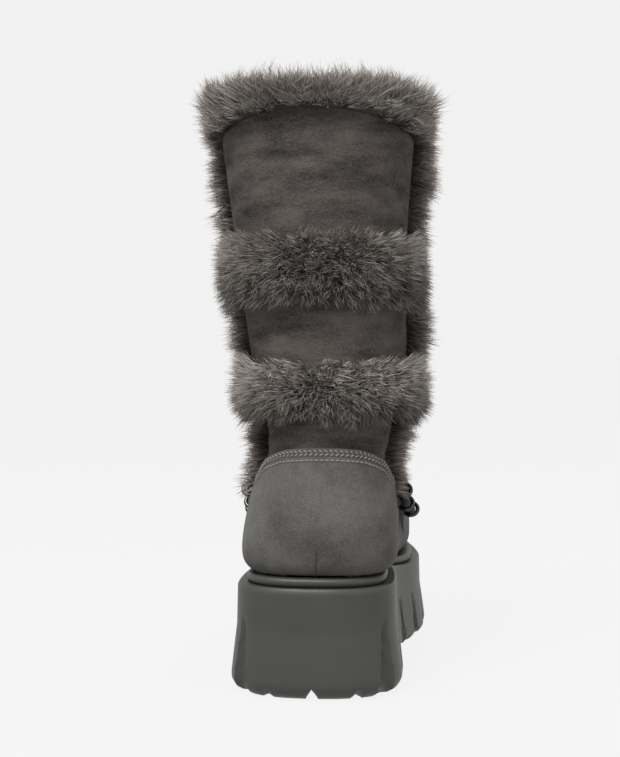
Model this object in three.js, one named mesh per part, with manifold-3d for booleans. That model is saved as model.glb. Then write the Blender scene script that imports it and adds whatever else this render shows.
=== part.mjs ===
// A mid-calf sheepskin boot for the left foot: thick rubber sole with a flared heel, suede foot,
// smooth sheepskin shaft, and fur round the collar, in two bands and down both sides.
// Millimetres, +Z up, +Y towards the toe, +X towards the inner side of the foot.
import * as THREE from "three";
import Module from "manifold-3d";

const wasm = await Module();
wasm.setup();

// Driving dimensions of the sole
const SOLE_LENGTH = 272;
const HEEL_WIDTH = 83;
const BALL_WIDTH = 99;
const WAIST_WIDTH = 76;
const HEEL_HEIGHT = 55;
const PLATFORM_HEIGHT = 44;
const TOE_SPRING = 12;
const HEEL_LENGTH = 86;
const HEEL_REST = 40;
const ARCH_WIDTH = 30;
const ARCH_RISE = 17;
const SOLE_FLARE = 3.4;
const SOLE_EDGE = 3.5;
const LEDGE_WIDTH = 5.2;
const POCKET_DEPTH = 3;
const MIDSOLE_HEIGHT = 6;
const MIDSOLE_GROOVE = 1.2;
const LUG_DEPTH = 5;
const LUG_GROOVE = 6.5;
const FLUTE_RADIUS = 6;

// Driving dimensions of the upper
const SHAFT_TOP = 300;
const COLLAR_WIDTH = 108;
const FOOT_WIDTH = 96;
const WALL = 2.6;
const SEAM_GAP = 0.3;
const OVERLAY = 1.5;
const INSOLE_THICKNESS = 4;
const LASTING_MARGIN = 10;

// Driving dimensions of the fur
const FUR_DEPTH = 13;
const MID_BAND_BOTTOM = 201;
const MID_BAND_HEIGHT = 32;
const LOW_BAND_BOTTOM = 143;
const LOW_BAND_HEIGHT = 25;
const COLLAR_FUR_HEIGHT = 19;
const COLLAR_FUR_INSIDE = 8;
const FUR_EDGE_BOTTOM = 76;
const FUR_RUN_GAP = 3.6;
const LOCK_LENGTH = 7;
const LOCK_RADIUS = 8;

// Driving dimensions of the lacing
const LACE_DIAMETER = 4.4;
const RING_RADIUS = 5.4;
const RING_WIRE = 1;
const TAB_WIDTH = 10;
const TAB_THICKNESS = 2;

// How finely the pieces are faceted
const COLUMNS = 24;
const SOLE_POINTS = 44;

const lerp = THREE.MathUtils.lerp;
const smooth = (value, low, high) => THREE.MathUtils.smoothstep(value, low, high);
const signedPower = (value, power) => Math.sign(value) * Math.abs(value) ** power;

// Solids from lists of points

// A closed solid from points and triangles, turned so that its faces point out.
function solidFrom(points, triangles) {
  const corners = (t) => triangles.slice(t, t + 3).map((i) => points[i]);
  let volume = 0;
  for (let t = 0; t < triangles.length; t += 3) {
    const [a, b, c] = corners(t);
    volume += a.dot(new THREE.Vector3().crossVectors(b, c));
  }
  const faces = volume < 0 ? triangles.toReversed() : triangles;
  const flat = points.flatMap((p) => [p.x, p.y, p.z]);
  const mesh = new wasm.Mesh({
    numProp: 3,
    vertProperties: new Float32Array(flat),
    triVerts: new Uint32Array(faces),
  });
  return new wasm.Manifold(mesh);
}

// The quads between neighbouring rings, as triangles.
function wallBetween(triangles, count, from, to) {
  for (let k = 0; k < count; k++) {
    const next = (k + 1) % count;
    triangles.push(from + k, from + next, to + next);
    triangles.push(from + k, to + next, to + k);
  }
}

// A lid on a ring whose points k and count - k lie opposite each other.
function lid(triangles, count, start, turned) {
  for (let k = 0; k < count / 2; k++) {
    const here = start + k;
    const next = start + k + 1;
    const oppositeNext = start + count - k - 1;
    const opposite = start + ((count - k) % count);
    if (next !== oppositeNext) {
      triangles.push(...(turned ? [next, here, oppositeNext] : [here, next, oppositeNext]));
    }
    if (here !== opposite) {
      triangles.push(...(turned ? [here, opposite, oppositeNext] : [opposite, here, oppositeNext]));
    }
  }
}

// A solid through rings of equally many points, closed at both ends.
function loft(rings) {
  const count = rings[0].length;
  const triangles = [];
  for (let r = 0; r + 1 < rings.length; r++) {
    wallBetween(triangles, count, r * count, (r + 1) * count);
  }
  lid(triangles, count, 0, true);
  lid(triangles, count, (rings.length - 1) * count, false);
  return solidFrom(rings.flat(), triangles);
}

// A solid ring: profiles of equally many points, the last joined to the first.
function hoop(profiles) {
  const count = profiles[0].length;
  const triangles = [];
  for (let r = 0; r < profiles.length; r++) {
    wallBetween(triangles, count, r * count, ((r + 1) % profiles.length) * count);
  }
  return solidFrom(profiles.flat(), triangles);
}

// A three.js geometry as a solid, put in place by a matrix.
function solidOfGeometry(geometry, matrix) {
  const position = geometry.getAttribute("position");
  const index = geometry.index ? [...geometry.index.array] : [...Array(position.count).keys()];
  const points = [];
  const seen = new Map();
  const faces = index.map((i) => {
    const p = new THREE.Vector3().fromBufferAttribute(position, i);
    const key = [p.x, p.y, p.z].map((n) => Math.round(n * 1e4)).join();
    if (!seen.has(key)) {
      seen.set(key, points.length);
      points.push(p.applyMatrix4(matrix));
    }
    return seen.get(key);
  });
  const kept = [];
  for (let t = 0; t < faces.length; t += 3) {
    const [a, b, c] = faces.slice(t, t + 3);
    if (a !== b && b !== c && a !== c) {
      kept.push(a, b, c);
    }
  }
  return solidFrom(points, kept);
}

// A prism with a side-view outline of [y, z] points, as wide as the whole boot.
function sidePrism(outline) {
  const shape = new THREE.Shape(outline.map(([y, z]) => new THREE.Vector2(y, z)));
  const width = 4 * BALL_WIDTH;
  const geometry = new THREE.ExtrudeGeometry(shape, { depth: width, bevelEnabled: false });
  const basis = new THREE.Matrix4().set(0, 0, 1, -width / 2, 1, 0, 0, 0, 0, 1, 0, 0, 0, 0, 0, 1);
  return solidOfGeometry(geometry, basis);
}

// A round bar from one point to another, with its own radius at each end.
function bar(from, to, radius, endRadius, sides) {
  const direction = new THREE.Vector3().subVectors(to, from);
  const geometry = new THREE.CylinderGeometry(endRadius, radius, direction.length(), sides);
  const turn = new THREE.Quaternion().setFromUnitVectors(
    new THREE.Vector3(0, 1, 0),
    direction.clone().normalize(),
  );
  const middle = new THREE.Vector3().addVectors(from, to).multiplyScalar(0.5);
  return solidOfGeometry(geometry, new THREE.Matrix4().compose(middle, turn, new THREE.Vector3(1, 1, 1)));
}

// The sole's outline and heights

const HEEL_ROUND = 36;
const HEEL_POWER = 2.5;
const TOE_ROUND = 74;
const TOE_POWER = 2.2;

// Half widths and sideways shift along the sole, in shares of its length and of the named widths
const SOLE_STATIONS = [
  { along: 0, width: HEEL_WIDTH, share: 1, shift: 0 },
  { along: 0.16, width: HEEL_WIDTH, share: 1, shift: 0 },
  { along: 0.4, width: WAIST_WIDTH, share: 1, shift: 0.0 },
  { along: 0.68, width: BALL_WIDTH, share: 1, shift: 0.02 },
  { along: 0.84, width: BALL_WIDTH, share: 0.96, shift: 0.05 },
  { along: 1, width: BALL_WIDTH, share: 0.9, shift: 0.085 },
];

// Width and shift of the sole at a distance from the back of the heel.
function soleStation(y) {
  const along = y / SOLE_LENGTH;
  const found = SOLE_STATIONS.findIndex((s) => s.along >= along);
  const next = found === -1 ? SOLE_STATIONS.length - 1 : Math.max(1, found);
  const [a, b] = [SOLE_STATIONS[next - 1], SOLE_STATIONS[next]];
  const t = smooth(along, a.along, b.along);
  return {
    half: lerp(a.width * a.share, b.width * b.share, t) / 2,
    shift: lerp(a.shift, b.shift, t) * BALL_WIDTH,
  };
}

// How much of the full width is left in the round heel and toe.
function endRounding(y) {
  const heel = Math.max(0, 1 - y / HEEL_ROUND);
  const toe = Math.max(0, 1 - (SOLE_LENGTH - y) / TOE_ROUND);
  return (1 - heel ** HEEL_POWER) ** (1 / HEEL_POWER) * (1 - toe ** TOE_POWER) ** (1 / TOE_POWER);
}

// The plan outline of the sole's rim, grown outwards by a distance that may follow y.
function soleOutline(growAt) {
  const rim = Array.from({ length: SOLE_POINTS }, (_, k) => {
    const turn = (2 * Math.PI * k) / SOLE_POINTS;
    const y = (SOLE_LENGTH / 2) * (1 - Math.cos(turn));
    const { half, shift } = soleStation(y);
    const side = Math.sign(Math.round(Math.sin(turn) * 1e6));
    return new THREE.Vector2(shift + side * half * endRounding(y), y);
  });
  return rim.map((p, k) => {
    const before = rim[(k + SOLE_POINTS - 1) % SOLE_POINTS];
    const after = rim[(k + 1) % SOLE_POINTS];
    const along = new THREE.Vector2().subVectors(after, before).normalize();
    return new THREE.Vector2(p.x + along.y * growAt(p.y), p.y - along.x * growAt(p.y));
  });
}

const toeLift = (y) => TOE_SPRING * Math.max(0, (y / SOLE_LENGTH - 0.74) / 0.26) ** 2;
const rimHeight = (y) =>
  lerp(HEEL_HEIGHT, PLATFORM_HEIGHT, smooth(y / SOLE_LENGTH, 0.22, 0.66)) + 0.7 * toeLift(y);
const pocketFloor = (y) => rimHeight(y) - POCKET_DEPTH;
const footbed = (y) => pocketFloor(y) + SEAM_GAP + MIDSOLE_HEIGHT;

// A slab between two heights that follow y, with a grown or shrunk outline of the sole.
function soleSlab(low, high, grow) {
  const outline = soleOutline(() => grow);
  return loft([low, high].map((height) => outline.map((p) => new THREE.Vector3(p.x, p.y, height(p.y)))));
}

// How far the side stands out at a share of the sole's height, from the tread to the rim.
const SOLE_LEVELS = [
  { height: 0, out: -0.55 },
  { height: 0.08, out: 0.9 },
  { height: 0.13, out: 1 },
  { height: 0.32, out: 0.66 },
  { height: 0.6, out: 0.12 },
  { height: 0.97, out: 0 },
  { height: 1, out: -0.3 },
];

// Outsole

// A groove of triangular section in the tread, centred on a point and turned about Z.
function treadGroove(x, y, turn, length, width, depth) {
  const shape = new THREE.Shape([
    new THREE.Vector2(-0.75 * width, -1),
    new THREE.Vector2(0.75 * width, -1),
    new THREE.Vector2(0.12 * width, depth),
    new THREE.Vector2(-0.12 * width, depth),
  ]);
  const geometry = new THREE.ExtrudeGeometry(shape, { depth: length, bevelEnabled: false });
  const matrix = new THREE.Matrix4()
    .makeTranslation(x, y, 0)
    .multiply(new THREE.Matrix4().makeRotationZ(turn))
    .multiply(new THREE.Matrix4().makeRotationX(Math.PI / 2))
    .multiply(new THREE.Matrix4().makeTranslation(0, 0, -length / 2));
  return solidOfGeometry(geometry, matrix);
}

// Where the side flutes stand along the sole, in shares of its length, and how high they reach
const FLUTES = [
  { along: 0.05, reach: 0.7 },
  { along: 0.15, reach: 0.6 },
  { along: 0.24, reach: 0.55 },
  { along: 0.48, reach: 0.62 },
  { along: 0.58, reach: 0.62 },
  { along: 0.68, reach: 0.62 },
  { along: 0.78, reach: 0.62 },
  { along: 0.88, reach: 0.6 },
];

// A tapered flute down the side of the sole, deepest at the tread.
function sideFlute({ along, reach }, side) {
  const y = along * SOLE_LENGTH;
  const { half, shift } = soleStation(y);
  const out = half * endRounding(y) + SOLE_FLARE + 0.35 * FLUTE_RADIUS;
  const lean = along < 0.05 ? -0.8 : 0;
  const foot = new THREE.Vector3(shift + side * out, y + lean * FLUTE_RADIUS, -1);
  const tip = new THREE.Vector3(shift + side * (out - SOLE_FLARE), y, rimHeight(y) * reach);
  return bar(foot, tip, FLUTE_RADIUS, 0, 7);
}

function outsole() {
  const rings = SOLE_LEVELS.map(({ height, out }) => {
    const grow = out < 0 ? out * SOLE_EDGE : out * SOLE_FLARE;
    return soleOutline(() => grow).map(
      (p) => new THREE.Vector3(p.x, p.y, lerp(toeLift(p.y), rimHeight(p.y), height)),
    );
  });
  const across = 2 * BALL_WIDTH;
  const archStart = HEEL_LENGTH;
  const archEnd = HEEL_LENGTH + ARCH_WIDTH;
  const cuts = [
    soleSlab(pocketFloor, (y) => rimHeight(y) + POCKET_DEPTH, -LEDGE_WIDTH),
    sidePrism([
      [archStart, -1],
      [archEnd, -1],
      [archEnd - 0.28 * ARCH_WIDTH, 0.9 * ARCH_RISE],
      [archEnd - 0.5 * ARCH_WIDTH, ARCH_RISE],
      [archStart + 0.2 * ARCH_WIDTH, 0.9 * ARCH_RISE],
    ]),
    treadGroove(0, 0.1 * HEEL_LENGTH, 0, 0.5 * HEEL_LENGTH, LUG_GROOVE, LUG_DEPTH),
    treadGroove(0, 0.62 * HEEL_LENGTH, Math.PI / 2, across, LUG_GROOVE, LUG_DEPTH),
  ];
  for (const side of [-1, 1]) {
    cuts.push(
      treadGroove(side * 0.3 * HEEL_WIDTH, 0, side * 0.5, 0.42 * HEEL_LENGTH, 0.6 * LUG_GROOVE, 0.7 * LUG_DEPTH),
    );
    cuts.push(...FLUTES.map((flute) => sideFlute(flute, side)));
  }
  for (const along of [0.52, 0.61, 0.7, 0.79]) {
    cuts.push(treadGroove(0, along * SOLE_LENGTH, Math.PI / 2, across, LUG_GROOVE, LUG_DEPTH));
  }
  return loft(rings).subtract(wasm.Manifold.union(cuts));
}

const midsole = () =>
  soleSlab((y) => pocketFloor(y) + SEAM_GAP, footbed, -(LEDGE_WIDTH + MIDSOLE_GROOVE));

// The upper's sections

// Each row is a section through the foot and leg, from the toe to the collar. backY and frontY are
// shares of the sole's length, backZ and frontZ shares of the leg's height above the heel seat,
// half a share of half the foot's or collar's width, side a share of the collar's width.
const FOOT = FOOT_WIDTH / 2;
const LEG = COLLAR_WIDTH / 2;
const SECTIONS = [
  { backY: 0.957, backZ: 0, frontY: 0.962, frontZ: 0.05, wide: FOOT, half: 0.25, widest: 0.5, low: 2, high: 2, side: 0.07 },
  { backY: 0.946, backZ: 0, frontY: 0.948, frontZ: 0.105, wide: FOOT, half: 0.52, widest: 0.4, low: 3, high: 2.2, side: 0.065 },
  { backY: 0.915, backZ: 0, frontY: 0.915, frontZ: 0.155, wide: FOOT, half: 0.72, widest: 0.36, low: 4, high: 2.2, side: 0.055 },
  { backY: 0.855, backZ: 0, frontY: 0.85, frontZ: 0.192, wide: FOOT, half: 0.85, widest: 0.33, low: 4.6, high: 2.2, side: 0.032 },
  { backY: 0.76, backZ: 0, frontY: 0.745, frontZ: 0.215, wide: FOOT, half: 0.92, widest: 0.3, low: 5, high: 2.1, side: 0.012 },
  { backY: 0.64, backZ: 0, frontY: 0.635, frontZ: 0.248, wide: FOOT, half: 0.9, widest: 0.28, low: 5, high: 2, side: 0.002 },
  { backY: 0.5, backZ: 0, frontY: 0.552, frontZ: 0.288, wide: FOOT, half: 0.85, widest: 0.27, low: 4.8, high: 1.9, side: 0.004 },
  { backY: 0.37, backZ: 0, frontY: 0.525, frontZ: 0.306, wide: FOOT, half: 0.8, widest: 0.26, low: 4.6, high: 1.8, side: 0.004 },
  { backY: 0.23, backZ: 0, frontY: 0.508, frontZ: 0.32, wide: FOOT, half: 0.81, widest: 0.25, low: 4.6, high: 1.75, side: 0.006 },
  { backY: 0.105, backZ: 0, frontY: 0.495, frontZ: 0.331, wide: FOOT, half: 0.825, widest: 0.24, low: 4, high: 1.75, side: 0.01 },
  { backY: 0.034, backZ: 0.018, frontY: 0.484, frontZ: 0.341, wide: FOOT, half: 0.815, widest: 0.26, low: 3, high: 1.8, side: 0.014 },
  { backY: 0.014, backZ: 0.085, frontY: 0.475, frontZ: 0.35, wide: FOOT, half: 0.77, widest: 0.32, low: 2.6, high: 1.85, side: 0.022 },
  { backY: 0.018, backZ: 0.16, frontY: 0.467, frontZ: 0.358, wide: FOOT, half: 0.71, widest: 0.4, low: 2.3, high: 1.9, side: 0.032 },
  { backY: 0.034, backZ: 0.235, frontY: 0.46, frontZ: 0.366, wide: LEG, half: 0.66, widest: 0.47, low: 2.1, high: 2, side: 0.04 },
  { backY: 0.048, backZ: 0.3, frontY: 0.454, frontZ: 0.374, wide: LEG, half: 0.69, widest: 0.5, low: 2.1, high: 2, side: 0.045 },
  { backY: 0.05, backZ: 0.37, frontY: 0.45, frontZ: 0.385, wide: LEG, half: 0.76, widest: 0.5, low: 2.1, high: 2.05, side: 0.045 },
  { backY: 0.044, backZ: 0.45, frontY: 0.446, frontZ: 0.452, wide: LEG, half: 0.83, widest: 0.5, low: 2.1, high: 2.1, side: 0.04 },
  { backY: 0.022, backZ: 0.73, frontY: 0.442, frontZ: 0.73, wide: LEG, half: 0.915, widest: 0.5, low: 2.15, high: 2.1, side: 0 },
  { backY: -0.002, backZ: 1, frontY: 0.447, frontZ: 1, wide: LEG, half: 1.04, widest: 0.5, low: 2.15, high: 2.1, side: -0.015 },
];

const SEAT = footbed(0) + SEAM_GAP;
const LEG_HEIGHT = SHAFT_TOP - SEAT;

// The ring of a section's outer surface, grown outwards in its own plane.
function sectionRing(row, grow) {
  const onBed = row.backZ === 0;
  const backHeight = onBed ? footbed(row.backY * SOLE_LENGTH) + SEAM_GAP : SEAT + row.backZ * LEG_HEIGHT;
  const bedDrop = SEAT - footbed(row.frontY * SOLE_LENGTH) - SEAM_GAP;
  const footShare = 1 - smooth(row.frontZ, 0.28, 0.4);
  const back = new THREE.Vector2(row.backY * SOLE_LENGTH, backHeight);
  const front = new THREE.Vector2(
    row.frontY * SOLE_LENGTH,
    SEAT + row.frontZ * LEG_HEIGHT - bedDrop * footShare,
  );
  const along = new THREE.Vector2().subVectors(front, back);
  const unit = along.clone().normalize();
  const length = along.length() + 2 * grow;
  const half = row.half * row.wide + grow;
  return Array.from({ length: COLUMNS }, (_, k) => {
    const turn = (2 * Math.PI * k) / COLUMNS - Math.PI / 2;
    const [c, s] = [Math.cos(turn), Math.sin(turn)].map((v) => Math.round(v * 1e9) / 1e9);
    const power = 2 / (s < 0 ? row.low : row.high);
    const reach = s < 0 ? row.widest : 1 - row.widest;
    const place = -grow + length * (row.widest + reach * signedPower(s, power));
    const across = row.side * COLLAR_WIDTH + half * signedPower(c, power);
    return new THREE.Vector3(across, back.x + unit.x * place, back.y + unit.y * place);
  });
}

// The solid inside the sections from one row to another, grown by a distance.
const bootForm = (first, last, grow) =>
  loft(SECTIONS.slice(first, last + 1).map((row) => sectionRing(row, grow)));

const TOE_ROW = 0;
const INNER_TOE_ROW = 1;
const INSTEP_ROW = 5;
const ANKLE_ROW = 15;
const COLLAR_ROW = SECTIONS.length - 1;
const SHAFT_GROW = -(WALL + SEAM_GAP);
const TONGUE_GROW = SHAFT_GROW - WALL - SEAM_GAP;

// Where the top edge of the foot and the throat run in side view, as [y, z]
const fromSeat = (share) => SEAT + share * LEG_HEIGHT;
const alongSole = (share) => share * SOLE_LENGTH;
const TOPLINE = [
  [-0.08, 0.3],
  [0.03, 0.279],
  [0.06, 0.272],
  [0.107, 0.25],
  [0.165, 0.205],
  [0.22, 0.185],
  [0.27, 0.178],
  [0.32, 0.176],
].map(([y, z]) => [alongSole(y), fromSeat(z)]);
const THROAT = [
  [0.345, 0.17],
  [0.42, 0.145],
  [0.52, 0.12],
  [0.6, 0.118],
  [0.645, 0.14],
  [0.665, 0.18],
  [0.68, 0.4],
].map(([y, z]) => [alongSole(y), fromSeat(z)]);

// A prism of everything below the foot's top edge, with the throat's edge moved by a distance.
function footRegion(drop) {
  const edge = [...TOPLINE, ...THROAT].map(([y, z], i) => [i < TOPLINE.length ? y : y + drop, z - drop]);
  return sidePrism([[alongSole(-0.3), -1], ...edge, [alongSole(1.2), fromSeat(0.4)], [alongSole(1.2), -1]]);
}

// Foot upper, open at the topline, at the throat and underneath
function footUpper() {
  const outside = bootForm(TOE_ROW, ANKLE_ROW, 0);
  const inside = bootForm(INNER_TOE_ROW, ANKLE_ROW, -WALL);
  const opening = soleSlab(pocketFloor, (y) => footbed(y) + 2 * WALL, -(LEDGE_WIDTH + LASTING_MARGIN));
  return outside.intersect(footRegion(0)).subtract(inside).subtract(opening);
}

// Sheepskin shaft, tucked inside the foot's top edge
function shaft() {
  const lowerEdge = [
    [-0.3, 0.2],
    [0.04, 0.2],
    [0.165, 0.145],
    [0.3, 0.13],
    [0.45, 0.2],
    [0.62, 0.3],
    [0.62, 1.2],
    [-0.3, 1.2],
  ].map(([y, z]) => [alongSole(y), fromSeat(z)]);
  const outside = bootForm(INSTEP_ROW, COLLAR_ROW, SHAFT_GROW);
  const inside = bootForm(INSTEP_ROW, COLLAR_ROW - 1, SHAFT_GROW - WALL).add(
    loft([COLLAR_ROW - 1, COLLAR_ROW].map((r) => liftedRing(r, SHAFT_GROW - WALL))),
  );
  return outside.intersect(sidePrism(lowerEdge)).subtract(inside);
}

// A section's ring, carried on a little above the collar so that a cut leaves no skin there.
function liftedRing(row, grow) {
  const ring = sectionRing(SECTIONS[row], grow);
  const lift = row === COLLAR_ROW ? WALL : 0;
  return ring.map((p) => new THREE.Vector3(p.x, p.y, p.z + lift));
}

// Tongue, behind the throat and tucked inside the shaft
function tongue() {
  const region = [
    [0.36, 0.12],
    [0.5, 0.07],
    [0.66, 0.07],
    [0.72, 0.16],
    [0.72, 0.34],
    [0.36, 0.34],
  ].map(([y, z]) => [alongSole(y), fromSeat(z)]);
  const outside = bootForm(INSTEP_ROW - 2, ANKLE_ROW, TONGUE_GROW);
  const inside = bootForm(INSTEP_ROW - 3, ANKLE_ROW + 1, TONGUE_GROW - WALL);
  return outside.intersect(sidePrism(region)).subtract(inside);
}

// Heel counter, laid over the back of the foot
function counter() {
  const region = [
    [-0.2, 0],
    [0.2, 0],
    [0.245, 0.04],
    [0.262, 0.1],
    [0.25, 0.15],
    [0.225, 0.184],
  ].map(([y, z]) => [alongSole(y), fromSeat(z)]);
  const top = [...TOPLINE].filter(([y]) => y < alongSole(0.2)).toReversed();
  const shell = bootForm(INSTEP_ROW, ANKLE_ROW, SEAM_GAP + OVERLAY).subtract(
    bootForm(INSTEP_ROW - 1, ANKLE_ROW + 1, SEAM_GAP),
  );
  const above = soleSlab((y) => footbed(y) + SEAM_GAP, () => SHAFT_TOP, BALL_WIDTH);
  return shell.intersect(sidePrism([...region, ...top])).intersect(above);
}

// Eyestay, laid along the throat's edge
function eyestay() {
  const width = 13;
  const shell = bootForm(INSTEP_ROW - 3, ANKLE_ROW, SEAM_GAP + OVERLAY).subtract(
    bootForm(INSTEP_ROW - 4, ANKLE_ROW + 1, SEAM_GAP),
  );
  const front = sidePrism([
    [alongSole(0.325), fromSeat(0)],
    [alongSole(0.8), fromSeat(0)],
    [alongSole(0.8), fromSeat(0.4)],
    [alongSole(0.325), fromSeat(0.4)],
  ]);
  return shell.intersect(footRegion(0)).intersect(front).subtract(footRegion(width));
}

function insole() {
  const inside = bootForm(INNER_TOE_ROW, ANKLE_ROW, -(WALL + 3 * SEAM_GAP));
  const low = (y) => footbed(y) + 3 * SEAM_GAP + WALL;
  return inside.intersect(soleSlab(low, (y) => low(y) + INSOLE_THICKNESS, -(LEDGE_WIDTH + LASTING_MARGIN)));
}

// The fur

// The ring round the leg at a height of its back, on the shaft's own facets, grown by a distance.
function legRing(height, grow) {
  const backOf = (row) => SEAT + row.backZ * LEG_HEIGHT;
  const found = SECTIONS.findIndex((row) => row.backZ > 0 && backOf(row) >= height);
  const next = found === -1 ? COLLAR_ROW : found;
  const [low, high] = [SECTIONS[next - 1], SECTIONS[next]];
  const t = (height - backOf(low)) / (backOf(high) - backOf(low));
  const upper = sectionRing(high, SHAFT_GROW + grow);
  return sectionRing(low, SHAFT_GROW + grow).map((p, k) => p.clone().lerp(upper[k], t));
}

// A tapered lock of wool from a point on the fur, 3-sided.
function lock(foot, direction, size) {
  const root = foot.clone().addScaledVector(direction, -0.35 * LOCK_LENGTH);
  const tip = foot.clone().addScaledVector(direction, size * LOCK_LENGTH);
  return bar(root, tip, LOCK_RADIUS * size, 0, 3);
}

// The way out from the leg's middle at a column of a ring.
function outwards(ring, k) {
  const middle = ring.reduce((sum, p) => sum.add(p), new THREE.Vector3()).divideScalar(ring.length);
  return new THREE.Vector3().subVectors(ring[k % COLUMNS], middle).setZ(0).normalize();
}

// Lengths that vary from lock to lock without a pattern that shows.
const uneven = (n) => 0.82 + 0.36 * ((n * 0.618034) % 1);

// Band sections: height as a share of the band's, depth as a share of the fur's
const BAND_PROFILE = [
  { up: 0.06, out: -0.12 },
  { up: 0, out: 0.45 },
  { up: 0.42, out: 0.86 },
  { up: 0.85, out: 0.72 },
  { up: 1, out: 0.3 },
  { up: 0.94, out: -0.12 },
];
const EDGE_COLUMN = 7.5;
const EDGE_REACH = 0.8;

// The leg and foot as the shaft and upper fill them, with the gap that the fur keeps from them.
const legCore = () => bootForm(INSTEP_ROW, COLLAR_ROW, SHAFT_GROW + SEAM_GAP);
const footCore = () => bootForm(TOE_ROW, ANKLE_ROW, 2 * SEAM_GAP + OVERLAY).intersect(footRegion(-WALL));

// Where a band's lock starts and how it leans; those by a fur edge point straight out, clear of it.
function lockPlace(k) {
  if (Math.abs(Math.min(k, COLUMNS - k) - EDGE_COLUMN) <= EDGE_REACH + 1) {
    return { rise: 0.5, tilt: 0, size: 0.6 };
  }
  return k % 2 ? { rise: 0.22, tilt: -1.1, size: 1 } : { rise: 0.84, tilt: 0.5, size: 1 };
}

// A band of fur round the leg, with locks that point down along its lower edge and up along its top.
function furBand(bottom, height) {
  const levels = BAND_PROFILE.map(({ up, out }) => legRing(bottom + up * height, SEAM_GAP + out * FUR_DEPTH));
  const profiles = Array.from({ length: COLUMNS }, (_, k) => levels.map((ring) => ring[k]));
  const locks = [];
  for (let k = 0; k < COLUMNS; k++) {
    if (k % 4 === 0) {
      continue;
    }
    const { rise, tilt, size } = lockPlace(k);
    const ring = legRing(bottom + rise * height, SEAM_GAP + 0.55 * FUR_DEPTH);
    locks.push(lock(ring[k], outwards(ring, k).setZ(tilt).normalize(), size * uneven(k)));
  }
  return hoop(profiles).add(wasm.Manifold.union(locks)).subtract(legCore());
}

// Collar sections: out from the shaft's face, up from its top edge
const COLLAR_PROFILE = [
  { out: 0, up: SEAM_GAP },
  { out: 0.35 * FUR_DEPTH, up: 0 },
  { out: 0.7 * FUR_DEPTH, up: 0.45 * COLLAR_FUR_HEIGHT },
  { out: 0.4 * FUR_DEPTH, up: 0.8 * COLLAR_FUR_HEIGHT },
  { out: -WALL - 0.2 * FUR_DEPTH, up: 0.8 * COLLAR_FUR_HEIGHT },
  { out: -WALL - 0.6 * FUR_DEPTH, up: 0.3 * COLLAR_FUR_HEIGHT },
  { out: -WALL - 2 * SEAM_GAP, up: -COLLAR_FUR_INSIDE },
  { out: -WALL - 2 * SEAM_GAP, up: SEAM_GAP },
];

// The fur that stands up round the shaft's top edge
function furCollar() {
  const levels = COLLAR_PROFILE.map(({ out, up }) => {
    const lift = Math.max(0, up);
    return legRing(SHAFT_TOP + up - lift, out).map((p) => new THREE.Vector3(p.x, p.y, p.z + lift));
  });
  const profiles = Array.from({ length: COLUMNS }, (_, k) => levels.map((ring) => ring[k]));
  const places = profiles.map((profile, k) => [profile, k]).filter(([, k]) => k % 4 !== 3);
  const locks = places.map(([profile, k]) => {
    const foot = profile[2].clone().lerp(profile[3], k % 2 ? 0.2 : 1);
    return lock(foot, outwards(levels[0], k).setZ(k % 2 ? 1 : 3).normalize(), uneven(k));
  });
  return hoop(profiles).add(wasm.Manifold.union(locks));
}

// Fur edge sections: column offset from the edge's middle, and depth as a share of the fur's
const EDGE_PROFILE = [
  { column: -EDGE_REACH, out: -0.12 },
  { column: EDGE_REACH, out: -0.12 },
  { column: EDGE_REACH, out: 0.6 },
  { column: 0, out: 1 },
  { column: -EDGE_REACH, out: 0.7 },
];

// A point of a ring between two of its columns, on the side of the foot that is asked for.
function betweenColumns(ring, column, side) {
  const low = Math.floor(column);
  const at = (k) => ring[side > 0 ? k : (COLUMNS - k) % COLUMNS];
  return at(low).clone().lerp(at(low + 1), column - low);
}

// A run of fur down the side of the leg, between two heights.
function furEdge(bottom, top, side) {
  const levels = [0, 0.15, 0.38, 0.62, 0.86, 1];
  const depth = (t) => (t === 0 || t === 1 ? 0.72 : 1.02);
  const rings = levels.map((t) =>
    EDGE_PROFILE.map(({ column, out }) => {
      const ring = legRing(lerp(bottom, top, t), SEAM_GAP + out * depth(t) * FUR_DEPTH);
      return betweenColumns(ring, EDGE_COLUMN + column, side);
    }),
  );
  const locks = [];
  const count = Math.round((top - bottom) / (1.5 * LOCK_RADIUS));
  for (let n = 1; n < count; n++) {
    const ring = legRing(lerp(bottom, top, n / count), SEAM_GAP + 0.7 * FUR_DEPTH);
    const column = EDGE_COLUMN + (n % 2 ? -0.55 : 0.4) * EDGE_REACH;
    const facing = Math.floor(EDGE_COLUMN);
    const way = outwards(ring, side > 0 ? facing : COLUMNS - facing).setZ(n % 3 ? -0.25 : 0.2);
    locks.push(lock(betweenColumns(ring, column, side), way.normalize(), 0.7 * uneven(n)));
  }
  const fur = edgeLoft(rings).add(wasm.Manifold.union(locks)).subtract(legCore());
  return bottom < LOW_BAND_BOTTOM ? fur.subtract(footCore()) : fur;
}

// A loft whose end rings, of any shape, are closed by fans from their first point.
function edgeLoft(rings) {
  const count = rings[0].length;
  const triangles = [];
  for (let r = 0; r + 1 < rings.length; r++) {
    wallBetween(triangles, count, r * count, (r + 1) * count);
  }
  const last = (rings.length - 1) * count;
  for (let k = 1; k + 1 < count; k++) {
    triangles.push(0, k + 1, k);
    triangles.push(last, last + k, last + k + 1);
  }
  return solidFrom(rings.flat(), triangles);
}

// The lacing

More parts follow.
